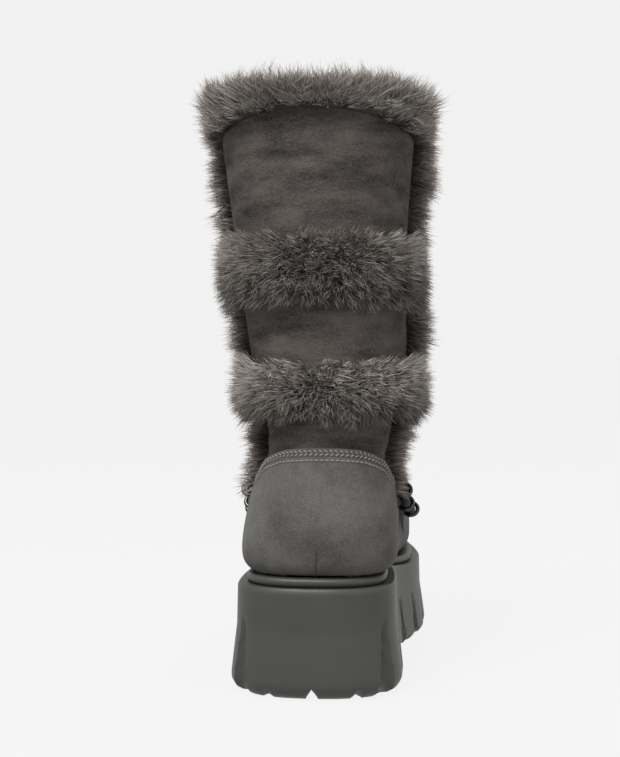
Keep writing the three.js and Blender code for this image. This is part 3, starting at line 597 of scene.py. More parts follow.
@dataclass(frozen=True)
class Tread:
    """The outsole: its side with flutes, its rim and pocket, and the grooves of its tread."""

    lug_depth: float = 5
    lug_groove: float = 6.5
    flute_radius: float = 6
    flute_cut: float = 3.8
    grid: tuple[int, int] = (400, 60)

    # Each flute: its place along the sole, and how far up the side it reaches
    flutes: tuple[tuple[float, float], ...] = (
        (0.05, 0.7), (0.15, 0.6), (0.24, 0.55), (0.48, 0.62), (0.58, 0.62), (0.68, 0.62), (0.78, 0.62),
        (0.88, 0.6))
    cross_grooves: tuple[float, ...] = (0.52, 0.61, 0.7, 0.79)

    # Each level: its share of the side's height, and how far it flares out
    levels: tuple[tuple[float, float], ...] = (
        (0, -0.55), (0.03, 0.35), (0.08, 0.9), (0.13, 1), (0.32, 0.66), (0.6, 0.12), (0.97, 0), (1, -0.3))

    def groove_depth(self, x: Array, y: Array) -> Array:
        """Return how deep the tread's grooves and arch cut in at a place, from the heel's back."""
        def cut(distance: Array, width: float, depth: float) -> Array:
            wall = (0.75 * width - np.abs(distance)) / (0.63 * width)
            return depth * np.clip(wall, 0, 1)

        heel = SOLE.heel_length
        middle = np.where(y < 0.35 * heel, cut(x, 0.64 * self.lug_groove, self.lug_depth), 0)
        depth = np.maximum(middle, cut(y - 0.62 * heel, self.lug_groove, self.lug_depth))
        for place in self.cross_grooves:
            depth = np.maximum(depth, cut(y - place * SOLE.length, self.lug_groove, self.lug_depth))
        for side in Side:
            sideways = x - side.value * 0.3 * SOLE.heel_width
            slanted = sideways * math.cos(0.5) + side.value * y * math.sin(0.5)
            small = cut(slanted, 0.6 * self.lug_groove, 0.7 * self.lug_depth)
            depth = np.maximum(depth, np.where(y < 0.2 * heel, small, 0))
        start, end = heel, heel + SOLE.arch_width
        arch = np.minimum((y - start) / (0.2 * SOLE.arch_width), (end - y) / (0.28 * SOLE.arch_width))
        return np.maximum(depth, SOLE.arch_rise * np.clip(arch, 0, 1) ** 0.8)

    def flute_depth(self, y: Array, height: Array) -> Array:
        """Return how far the flutes cut into the side at a place and a share of the height."""
        depth = np.zeros_like(y)
        for along, reach in self.flutes:
            left = np.clip(1 - height / reach, 0, 1)
            radius = self.flute_radius * (0.25 + 0.75 * left) * 0.75
            across = np.clip(np.abs(y - along * SOLE.length) / radius, 0, 1)
            depth = np.maximum(depth, self.flute_cut * np.sqrt(left) * (1 - across ** 2) ** 0.4)
        return depth

    def shape(self, around: Array, along: Array) -> Array:
        """Lay a grid from the middle of the tread out, up the side, over the rim and into the pocket."""
        turn = FULL_TURN * around
        heights, outs = np.array(self.levels).T
        side = np.clip((along - 0.2) / 0.55, 0, 1)
        out = np.interp(side, heights, outs)
        out = np.where(out < 0, out * SOLE.edge, out * SOLE.flare)
        y_rim = SOLE.outline(turn, 0)[:, 1]
        out = out - np.where((along > 0.2) & (side < 0.9), self.flute_depth(y_rim, side), 0)
        inward = np.select([along < 0.2, along > 0.9], [1 - along / 0.2, (along - 0.9) / 0.1], 0)
        inset = np.interp(along, [0.75, 0.82, 0.9], [0, SOLE.ledge, SOLE.ledge])
        grow = np.where(along > 0.75, np.minimum(-0.3 * SOLE.edge, -inset), out)
        rim = SOLE.outline(turn, grow)
        spine = SOLE.half_and_shift(rim[:, 1])[1]
        x = rim[:, 0] + (spine - rim[:, 0]) * inward
        y = rim[:, 1]
        low = SOLE.toe_lift(y) + self.groove_depth(x, y) * np.clip(1 - side / 0.12, 0, 1)
        top = SOLE.rim_height(y)
        z = low + (top - low) * side
        z = np.where(along > 0.85, top - SOLE.pocket, z)
        return np.stack([x, y - SOLE.heel_rest, z], 1)

    def build(self) -> bpy.types.Object:
        """Build the outsole.

        Returns:
            The piece.
        """
        bm = grid_mesh(*self.grid, self.shape, closed=True)
        bmesh.ops.recalc_face_normals(bm, faces=bm.faces)
        return link("outsole_moulded", finished(bm, "outsole_moulded", 32), "rubber", ["outsole"])


@dataclass(frozen=True)
class Rand:
    """The midsole's edge between the sole and the upper, with a rolled rand on top."""

    # Each row: share of the grid, millimetres out, share of the midsole's height
    profile: tuple[tuple[float, float, float], ...] = (
        (0, -1.6, 0), (0.25, -1.6, 0.4), (0.3, -0.4, 0.42), (0.4, 0.9, 0.5), (0.5, 1.5, 0.66),
        (0.6, 1.7, 0.86), (0.7, 1.4, 1.06), (0.8, 0.6, 1.2), (0.9, -2.5, 1.24), (1, -14, 1.0))

    def shape(self, around: Array, along: Array) -> Array:
        """Lay a grid up the midsole's side, over its rolled edge and in to its middle."""
        turn = FULL_TURN * around
        base = -(SOLE.ledge + SOLE.midsole_groove)
        stops, outs, ups = np.array(self.profile).T
        out, up = np.interp(along, stops, outs), np.interp(along, stops, ups)
        rim = SOLE.outline(turn, base + out)
        floor = SOLE.rim_height(rim[:, 1]) - SOLE.pocket + SOLE.gap
        return np.stack([rim[:, 0], rim[:, 1] - SOLE.heel_rest, floor + up * SOLE.midsole], 1)

    def build(self) -> bpy.types.Object:
        """Build the midsole with its rand.

        Returns:
            The piece.
        """
        bm = grid_mesh(220, 20, self.shape, closed=True)
        rims = [e for e in bm.edges if e.is_boundary]
        bmesh.ops.holes_fill(bm, edges=rims, sides=0)
        bmesh.ops.triangulate(bm, faces=[f for f in bm.faces if len(f.verts) > 4])
        bmesh.ops.recalc_face_normals(bm, faces=bm.faces)
        return link("midsole_rand", finished(bm, "midsole_rand", 50), "rubber", ["midsole"])


@dataclass(frozen=True)
class Upper:
    """The suede foot with its counter and eyestay, and the tongue under its throat."""

    # Each corner in side view: its share of the sole's length, and of the leg's height over the seat
    topline: tuple[tuple[float, float], ...] = (
        (-0.08, 0.3), (0.03, 0.279), (0.06, 0.272), (0.107, 0.25), (0.165, 0.205), (0.22, 0.185),
        (0.27, 0.178), (0.32, 0.176), (0.345, 0.17), (0.42, 0.145), (0.52, 0.12), (0.6, 0.118),
        (0.645, 0.14), (0.665, 0.18), (0.68, 0.4))
    eyestay_width: float = 13

    def edge(self, drop: float = 0) -> Array:
        """Return the corners of the foot's top edge in side view, or of a line a distance below it."""
        places, heights = np.array(self.topline).T
        moved = places * SOLE.length - SOLE.heel_rest + drop * smooth_step(places, 0.4, 0.6)
        return np.stack([moved, BOOT.seat + heights * BOOT.leg_height - drop], 1)

    def edge_height(self, y: Array, drop: float = 0) -> Array:
        """Return the height of the foot's top edge at a place along the boot."""
        return np.interp(y, *self.edge(drop).T)

    def top_row(self, turn: Array, grow: float, drop: float | Array) -> Array:
        """Return the row at which each column of the form meets the top edge, at the back and sides."""
        turn = turn % FULL_TURN
        a, b = np.full_like(turn, 7.0), np.full_like(turn, BOOT.last_row - 3.0)
        for _ in range(22):
            middle = (a + b) / 2
            p = BOOT.points(middle, turn, grow)
            below = p[:, 2] < self.edge_height(p[:, 1], drop)
            a, b = np.where(below, middle, a), np.where(below, b, middle)
        return a

    def skin(self, grow: float) -> bmesh.types.BMesh:
        """Make the foot's skin from the toe to its top edge, open underneath.

        Args:
            grow: How far outside the form the skin lies.

        Returns:
            The skin as a sheet that faces outwards.
        """
        last = len(BOOT.FOOT_ROWS) + 1.5

        def place(around: Array, along: Array) -> Array:
            return BOOT.points(last * along, FULL_TURN * around, grow)

        bm = grid_mesh(120, 100, place, closed=True)
        tip = (0.95 * SOLE.length - SOLE.heel_rest) * MM
        rim = [e for e in bm.edges if e.is_boundary and e.verts[0].co.y > tip]
        bmesh.ops.holes_fill(bm, edges=rim, sides=0)
        face_outwards(bm, FOOT_MIDDLE)
        trim(bm, lambda p: under_line(self.edge(), p[:, 1], p[:, 2]))
        lowest = (BOOT.seat + 3) * MM
        under = [f for f in bm.faces if f.normal.z < -0.9 and f.calc_center_median().z < lowest]
        bmesh.ops.delete(bm, geom=under, context="FACES")
        return bm

    def counter_inside(self, points: Array) -> Array:
        """Return how far points lie behind the counter's front edge."""
        up = np.clip((points[:, 2] - BOOT.seat) / (0.236 * BOOT.leg_height), 0, 1)
        front = SOLE.length * (0.2 + 0.062 * np.sin(math.pi * up ** 0.85))
        return front - points[:, 1] - SOLE.heel_rest

    def eyestay_inside(self, points: Array) -> Array:
        """Return how far points lie within the band along the throat."""
        y = points[:, 1] + SOLE.heel_rest
        above = -under_line(self.edge(self.eyestay_width), points[:, 1], points[:, 2])
        return np.minimum(above, y - 0.325 * SOLE.length)

    def tongue_inside(self, points: Array) -> Array:
        """Return how far points lie within the tongue's outline in side view."""
        y, z = points[:, 1] + SOLE.heel_rest, points[:, 2] - BOOT.seat
        length, height = SOLE.length, BOOT.leg_height
        low = height * np.interp(y / length, [0.36, 0.5, 0.66], [0.12, 0.07, 0.07])
        return np.minimum.reduce([y - 0.36 * length, 0.72 * length - y, z - low, 0.34 * height - z])

    def build(self) -> list[bpy.types.Object]:
        """Build the foot, its counter, eyestay and tongue.

        Returns:
            The pieces.
        """
        pieces = [sewn("foot_suede", "suede", ["upper"], self.skin(0), BOOT.wall)]
        for node, inside in (("counter", self.counter_inside), ("eyestay", self.eyestay_inside)):
            overlay = self.skin(OVERLAY_GROW)
            trim(overlay, inside)
            pieces.append(sewn(f"{node}_suede", "suede", [node], overlay, BOOT.overlay))
        last = len(BOOT.FOOT_ROWS) + 2

        def under_throat(around: Array, along: Array) -> Array:
            return BOOT.points(3 + (last - 3) * along, math.pi * (0.5 + around), TONGUE_GROW)

        tongue = grid_mesh(48, 70, under_throat)
        face_outwards(tongue, FOOT_MIDDLE)
        trim(tongue, self.tongue_inside)
        pieces.append(sewn("tongue_skin", "sheepskin", ["tongue"], tongue, BOOT.wall))
        return pieces


@dataclass(frozen=True)
class Shaft:
    """The sheepskin shaft, smooth side out, with soft wrinkles and a cut top edge."""

    wrinkle: float = 0.55

    # The edge inside the foot, in the same shares as the foot's topline
    lower_edge: tuple[tuple[float, float], ...] = (
        (-0.3, 0.2), (0.04, 0.2), (0.165, 0.145), (0.3, 0.13), (0.45, 0.2), (0.62, 0.3), (0.63, 1.2))

    def place(self, around: Array, along: Array) -> Array:
        """Lay a grid over the leg from inside the foot to the collar."""
        turn = FULL_TURN * around
        first = len(BOOT.FOOT_ROWS) - 6
        row = first + (BOOT.last_row - first) * along
        flat = BOOT.points(row, turn, SHAFT_GROW)
        wave = (np.sin(flat[:, 2] * 0.55 + 2.2 * np.sin(2 * turn) + 1.3 * np.sin(5 * turn + 1))
                * np.sin(flat[:, 2] * 0.17 + 3 * np.cos(turn)))
        return BOOT.points(row, turn, SHAFT_GROW + self.wrinkle * wave * (1 - along) ** 0.5)

    def build(self) -> bpy.types.Object:
        """Build the shaft with its wall.

        Returns:
            The piece.
        """
        bm = grid_mesh(120, 130, self.place, closed=True)
        face_outwards(bm, LEG_MIDDLE)
        line = np.array(self.lower_edge) * (SOLE.length, BOOT.leg_height) + (-SOLE.heel_rest, BOOT.seat)
        trim(bm, lambda p: -under_line(line, p[:, 1], p[:, 2]))
        return sewn("shaft_skin", "sheepskin", ["shaft"], bm, BOOT.wall)


@dataclass(frozen=True)
class Coat:
    """How hairs gather in locks, lean, curl and taper; lengths in millimetres."""

    lock_hairs: int = 26
    lock_radius: float = 3.2
    spread: float = 0.6
    leg_radius: float = 50
    lock_lean: tuple[float, float, float] = (0.34, 0.34, 0.30)
    hair_lean: float = 0.13
    rise: float = 0.8
    gather: float = 0.55
    gather_power: float = 1.5
    curl: float = 0.16
    sag: float = 0.06
    wave: float = 0.05
    wave_phase: float = 54
    lock_length: tuple[float, float] = (0.78, 0.34)
    hair_length: tuple[float, float] = (0.72, 0.36)
    tone: tuple[float, float] = (0.72, 0.5)
    steps: tuple[float, ...] = (0, 0.36, 0.72, 1.0)
    half_widths: tuple[float, ...] = (0.21, 0.2, 0.14)


@dataclass(frozen=True)
class FurPatch:
    """A stretch of fur on the leg: where it grows, how long it is and how it lies.

    Turns are angles from the leg's back, and heights are millimetres over the floor. Tilts (up from
    level), lengths and tones with painted light each hold a value for the patch's bottom, middle and
    top; these tones paint light and shade on the fur, darker at a band's bottom and lighter at its top.
    The patch dips, and its hairs grow longer by the factor for the sides, towards both sides of the leg.
    """

    name: str
    nodes: tuple[str, ...]
    turns: tuple[float, float]
    heights: tuple[float, float]
    tilts: tuple[float, float, float]
    lengths: tuple[float, float, float]
    hairs: int
    seed: int
    inside: bool = False
    dip: float = 0.0
    sides: float = 1.0
    tones_with_painted_light: tuple[float, float, float] = (1, 1, 1)
    coat: Coat = Coat()

    def on_leg(self, up: Array, turn: Array) -> tuple[Array, Array]:
        """Return points on the leg and the level directions out from it."""
        low, high = (BOOT.row_at(h) for h in self.heights)
        lowest = BOOT.row_at(self.heights[0] - self.dip)
        low = low + (lowest - low) * np.sin(turn) ** 2
        row = low + (high - low) * up
        grow = -BOOT.wall if self.inside else 0.0
        here = BOOT.points(row, turn, SHAFT_GROW + grow)
        out = BOOT.points(row, turn, SHAFT_GROW + grow + 1) - here
        out[:, 2] = 0
        out /= np.linalg.norm(out, axis=1)[:, None]
        return here, -out if self.inside else out

    def build(self) -> bpy.types.Object:
        """Grow the patch's hairs in locks that lean together.

        Returns:
            The piece, one mesh of fine tapered strips.
        """
        rng = np.random.default_rng(self.seed)
        coat = self.coat
        each = coat.lock_hairs
        locks = self.hairs // each
        up = rng.random(locks)
        turn = self.turns[0] + (self.turns[1] - self.turns[0]) * rng.random(locks)
        lock_root = self.on_leg(up, turn)[0]
        radius_up = coat.lock_radius / max(1.0, self.heights[1] - self.heights[0])
        radius_turn = coat.lock_radius / coat.leg_radius
        hair_up = np.repeat(up, each) + radius_up * rng.normal(size=locks * each) * coat.spread
        hair_turn = np.repeat(turn, each) + radius_turn * rng.normal(size=locks * each) * coat.spread
        hair_up = np.clip(hair_up, 0, 1)
        root, out = self.on_leg(hair_up, hair_turn)
        upright = np.array([0, 0, 1])
        across = np.cross(out, upright)
        lean = np.repeat(rng.normal(size=(locks, 3)) * coat.lock_lean, each, axis=0)
        lean = lean + rng.normal(size=root.shape) * coat.hair_lean
        stops = (0.0, 0.5, 1.0)
        tilt = np.interp(hair_up, stops, self.tilts)
        least, more = coat.lock_length
        length = np.interp(hair_up, stops, self.lengths) * np.repeat(least + more * rng.random(locks), each)
        least, more = coat.hair_length
        length = length * (least + more * rng.random(len(root)))
        length *= 1 + (self.sides - 1) * np.sin(hair_turn) ** 2
        way = out * np.cos(tilt)[:, None] + upright * np.sin(tilt)[:, None]
        way = way + across * lean[:, :1] + upright * lean[:, 1:2] * coat.rise
        way /= np.linalg.norm(way, axis=1)[:, None]
        gather = (np.repeat(lock_root, each, axis=0) - root) * coat.gather
        curl = across * np.repeat(rng.normal(size=locks), each)[:, None] * coat.curl - upright * coat.sag
        points = []
        for s in coat.steps:
            wave = across * (coat.wave * length * np.sin(7 * s + coat.wave_phase * hair_turn))[:, None]
            bend = gather * s ** coat.gather_power + curl * (length * s * s)[:, None]
            points.append(root + way * (length * s)[:, None] + bend + wave)
        least, more = coat.tone
        # Each hair's tone is its own random tone times the patch's painted light and shade at its height.
        tone = np.interp(hair_up, stops, self.tones_with_painted_light) * (least + more * rng.random(len(root)))
        return self.strips(points, tone, rng)

    def strips(self, points: list[Array], tone: Array, rng: np.random.Generator) -> bpy.types.Object:
        """Join tapered strips along the hairs into one mesh with their shade as an attribute.

        Args:
            points: The hairs' points, one array for each step.
            tone: How light each hair is: its own random tone times its patch's painted light and shade.
            rng: The random source.

        Returns:
            The piece.
        """
        count = len(tone)
        facing = rng.normal(size=(count, 3))
        wide = np.cross(points[-1] - points[0], facing)
        wide /= np.linalg.norm(wide, axis=1)[:, None]
        rows = []
        for point, half in zip(points[:-1], self.coat.half_widths):
            rows += [point - wide * half, point + wide * half]
        rows.append(points[-1])
        verts = np.stack(rows, 1).reshape(-1, 3) * MM
        first = (np.arange(count) * 7)[:, None]
        faces = np.array([(0, 1, 3), (0, 3, 2), (2, 3, 5), (2, 5, 4), (4, 5, 6)])
        corners = (first[:, None, :] + faces[None]).reshape(-1, 3)
        mesh = bpy.data.meshes.new(self.name)
        mesh.vertices.add(len(verts))
        mesh.vertices.foreach_set("co", verts.ravel())
        mesh.loops.add(corners.size)
        mesh.loops.foreach_set("vertex_index", corners.ravel().astype(np.int32))
        mesh.polygons.add(len(corners))
        mesh.polygons.foreach_set("loop_start", np.arange(0, corners.size, 3, dtype=np.int32))
        mesh.update(calc_edges=True)
        mesh.polygons.foreach_set("use_smooth", np.ones(len(corners), bool))
        shade = np.repeat(np.repeat(self.coat.steps, 2)[:7][None], count, 0)
        tones_with_painted_light = np.repeat(tone[:, None], 7, 1)
        colour = np.stack([shade, tones_with_painted_light, shade, np.ones_like(shade)], 2).astype(np.float32)
        mesh.color_attributes.new("hair", "FLOAT_COLOR", "POINT").data.foreach_set("color", colour.ravel())
        return link(self.name, mesh, "fur", self.nodes)


def fur_patches() -> list[FurPatch]:
    """List the boot's fur: the collar, two bands and the runs down both sides.

    Returns:
        The patches.
    """
    full = (0.0, FULL_TURN)
    patches = [
        FurPatch("collar_fur_out", ("fur_collar",), full, (298, 300), (0.6, 0.9, 1.1), (12, 16.5, 21),
                 30000, 11, dip=10, sides=1.08),
        FurPatch("collar_fur_in", ("fur_collar",), full, (291, 300), (0.85, 1.05, 1.2), (20, 24, 26),
                 19000, 12, inside=True, sides=1.1),
        # The bands' tones are painted light and shade: darker at the bottom and lighter at the top, as if lit
        # from above.
        FurPatch("band_fur_mid", ("fur_band_mid",), full, (206, 231), (-0.75, -0.1, 0.6), (15, 14, 12),
                 33000, 13, sides=1.12, tones_with_painted_light=(0.44, 0.8, 1.1)),
        FurPatch("band_fur_low", ("fur_band_low",), full, (147, 166), (-0.7, -0.1, 0.6), (15, 14, 12),
                 29000, 14, sides=1.25, tones_with_painted_light=(0.4, 0.95, 1.6)),
    ]
    middle, reach = 7.5 / 24 * FULL_TURN, 0.8 / 24 * FULL_TURN
    runs = (("top", 233, 300, 8000, 1), ("mid", 168, 206, 4800, 1), ("low", 76, 148, 7000, 1.25))
    for side in Side:
        here = middle if side is Side.INNER else FULL_TURN - middle
        for n, (run, low, high, hairs, wider) in enumerate(runs):
            place = f"{side.name.lower()}_{run}"
            turns = (here - wider * reach, here + wider * reach)
            # The side runs' tones are painted light, lighter towards the top.
            patches.append(FurPatch(f"edge_fur_{place}", (f"fur_edge_{place}",), turns, (low, high),
                                    (-0.2, -0.1, 0.1), (15, 18, 16), hairs, 20 + n + 5 * side.value,
                                    tones_with_painted_light=(1.05, 1.2, 1.3)))
    return patches


@dataclass(frozen=True)
class Pelt:
    """The dark woolly body under a patch of fur, which keeps the hide from showing through."""

    patch: FurPatch
    thickness: float = 5.0
    sections: int = 14

    @property
    def whole(self) -> bool:
        """Whether the patch goes all the way round the leg."""
        return self.patch.turns[1] - self.patch.turns[0] > 6

    def build(self) -> bpy.types.Object:
        """Build the body as a low swelling over the patch.

        Returns:
            The piece.
        """
        rng = np.random.default_rng(self.patch.seed + 100)
        phase = rng.random(2) * 6

        def place(around: Array, along: Array) -> Array:
            turns = self.patch.turns
            turn = turns[0] + (turns[1] - turns[0]) * around
            root, out = self.patch.on_leg(along, turn)
            ends = 1 if self.whole else np.sqrt(np.clip(np.sin(math.pi * around), 0, 1))
            swell = np.sqrt(np.clip(np.sin(math.pi * along), 0, 1)) * ends
            uneven = 1 + 0.2 * np.sin(14 * turn + phase[0]) * np.sin(22 * along + phase[1])
            return root + out * (0.4 + self.thickness * swell * uneven)[:, None]

        bm = grid_mesh(120 if self.whole else self.sections, self.sections, place, closed=self.whole)
        face_outwards(bm, LEG_MIDDLE)
        name = self.patch.name.replace("fur", "pelt")
        mesh = finished(bm, name, 60)
        # The pelt sits near the roots' dark and carries the patch's middle painted light and shade, a little
        # darker.
        colour = np.tile(np.array([0.12, 0.9 * self.patch.tones_with_painted_light[1], 0, 1], np.float32), len(mesh.vertices))
        mesh.color_attributes.new("hair", "FLOAT_COLOR", "POINT").data.foreach_set("color", colour)
        return link(name, mesh, "fur", self.patch.nodes)


def tube_mesh(points: Array, radius: float, sides: int = 10) -> bmesh.types.BMesh:
    """Sweep a circle along points, turned as little as the bends allow.

    Args:
        points: The path in millimetres.
        radius: The tube's radius.
        sides: The number of its faces round.

    Returns:
        The tube with closed ends.
    """
    ways = np.gradient(points, axis=0)
    ways /= np.linalg.norm(ways, axis=1)[:, None]
    up = np.array([1.0, 0, 0])
    ups = []
    for way in ways:
        up = up - way * up.dot(way)
        up /= np.linalg.norm(up)
        ups.append(up)
    rights = np.cross(ways, ups)

    def place(around: Array, along: Array) -> Array:
        turn = FULL_TURN * around
        n = np.rint(along * (len(points) - 1)).astype(int)
        out = np.array(ups)[n] * np.cos(turn)[:, None] + rights[n] * np.sin(turn)[:, None]
        return points[n] + out * radius

    bm = grid_mesh(sides, len(points) - 1, place, closed=True)
    bmesh.ops.holes_fill(bm, edges=[e for e in bm.edges if e.is_boundary], sides=0)
    bmesh.ops.recalc_face_normals(bm, faces=bm.faces)
    return bm


def smooth_path(points: Array, each: int) -> Array:
    """Return a smooth path through points, with a number of steps between each two."""
    return blend_rows(points, np.linspace(0, len(points) - 1, (len(points) - 1) * each + 1))


@dataclass(frozen=True)
class Lacing:
    """The rings on their tabs, and the lace that crosses the instep through them."""

    # Each ring's share of the sole's length and of the leg's height, and each stop's ring, side and way
    rings: tuple[tuple[float, float], ...] = ((0.33, 0.158), (0.415, 0.118), (0.505, 0.092))
    path: tuple[tuple[int, int, int], ...] = (
        (0, -1, -1), (1, 1, -1), (2, -1, -1), (2, 1, 1), (1, -1, 1), (0, 1, 1))
    slope: float = math.radians(58)
    ring_radius: float = 5.4
    wire: float = 1.25
    diameter: float = 4.4
    steps: int = 6

    @property
    def over(self) -> Array:
        """The way out over the instep."""
        return np.array([0, math.cos(self.slope), math.sin(self.slope)])

    @property
    def throat(self) -> Array:
        """The way up along the throat."""
        return np.array([0, -math.sin(self.slope), math.cos(self.slope)])

    def laced_form(self) -> BVHTree:
        """Make the surface that the rings and the lace lie on."""
        last = len(BOOT.FOOT_ROWS) + 1

        def place(around: Array, along: Array) -> Array:
            return BOOT.points(last * along, FULL_TURN * around, OVERLAY_GROW)

        bm = grid_mesh(72, 60, place)
        tree = BVHTree.FromBMesh(bm)
        bm.free()
        return tree

    def outside(self, form: BVHTree, start: Array, way: Array, further: float) -> Array:
        """Return where a line from inside the foot comes out of it for good, and a distance further."""
        far = start + way * 200
        hit = form.ray_cast(Vector(far * MM), Vector(-way))[0]
        return np.array(hit) / MM + way * further

    def inside(self, ring: int) -> Array:
        """Return the place within the foot level with a ring."""
        along, up = self.rings[ring]
        return np.array([0, along * SOLE.length - SOLE.heel_rest, BOOT.seat + up * BOOT.leg_height])

    def centre(self, form: BVHTree, ring: int, side: int) -> Array:
        """Return a ring's centre."""
        way = np.array([float(side), 0, 0])
        return self.outside(form, self.inside(ring), way, 3 * SOLE.gap + self.ring_radius)

    def span(self, form: BVHTree, start: tuple[int, int, int], end: tuple[int, int, int]) -> list[Array]:
        """Return the lace's points from one ring over the instep into the next."""
        def through(stop: tuple[int, int, int], share: float) -> Array:
            ring, side, way = stop
            return self.centre(form, ring, side) + self.throat * way * share * self.diameter

        points = [through(start, 0), through(start, 0.8)]
        for n in range(1, self.steps):
            t = n / self.steps
            angle = (t - 0.5) * math.pi * end[1]
            way = self.over * math.cos(angle) + np.array([math.sin(angle), 0, 0])
            origin = self.inside(start[0]) * (1 - t) + self.inside(end[0]) * t
            origin = origin + self.throat * self.diameter * (start[2] * (1 - t) - end[2] * t)
            lift = self.ring_radius * abs(2 * t - 1)
            way /= np.linalg.norm(way)
            points.append(self.outside(form, origin, way, 0.5 * self.diameter + 4 * SOLE.gap + lift))
        return [*points, through(end, -0.8), through(end, 0.1)]

    def ring(self, name: str, centre: Array, node: str) -> bpy.types.Object:
        """Build one ring of round wire."""
        bm = bmesh.new()
        arm = self.ring_radius - self.wire
        turn = Matrix.Rotation(math.pi / 2, 4, "X")
        bmesh.ops.create_circle(bm, segments=12, radius=self.wire * MM, cap_ends=False,
                                matrix=Matrix.Translation((arm * MM, 0, 0)) @ turn)
        bmesh.ops.spin(bm, geom=bm.edges[:] + bm.verts[:], cent=(0, 0, 0), axis=(0, 0, 1), angle=FULL_TURN,
                       steps=32)
        bmesh.ops.remove_doubles(bm, verts=bm.verts, dist=WELD)
        bmesh.ops.recalc_face_normals(bm, faces=bm.faces)
        aim = Vector((0, 0, 1)).rotation_difference(Vector(self.throat)).to_matrix().to_4x4()
        bmesh.ops.transform(bm, matrix=Matrix.Translation(Vector(centre * MM)) @ aim, verts=bm.verts)
        return link(name, finished(bm, name, 60), "gunmetal", [node])

    def build(self) -> list[bpy.types.Object]:
        """Build the rings and the lace.

        Returns:
            The pieces.
        """
        form = self.laced_form()
        pieces = []
        for side in Side:
            word = side.name.lower()
            for n in range(len(self.rings)):
                label = f"{word}_{n + 1}"
                centre = self.centre(form, n, side.value)
                pieces.append(self.ring(f"ring_{label}", centre, f"lace_ring_{label}"))
        for part, (first, last) in enumerate(((0, 3), (3, 5))):
            spans = [self.span(form, self.path[n], self.path[n + 1]) for n in range(first, last)]
            points = [p for n, s in enumerate(spans) for p in (s[:-1] if n + 1 < len(spans) else s)]
            bm = tube_mesh(smooth_path(np.array(points), 5), self.diameter / 2, 14)
            name = f"lace_run_{part + 1}"
            pieces.append(link(name, finished(bm, name, 60), "cord", ["lace_crossings"]))
        return pieces


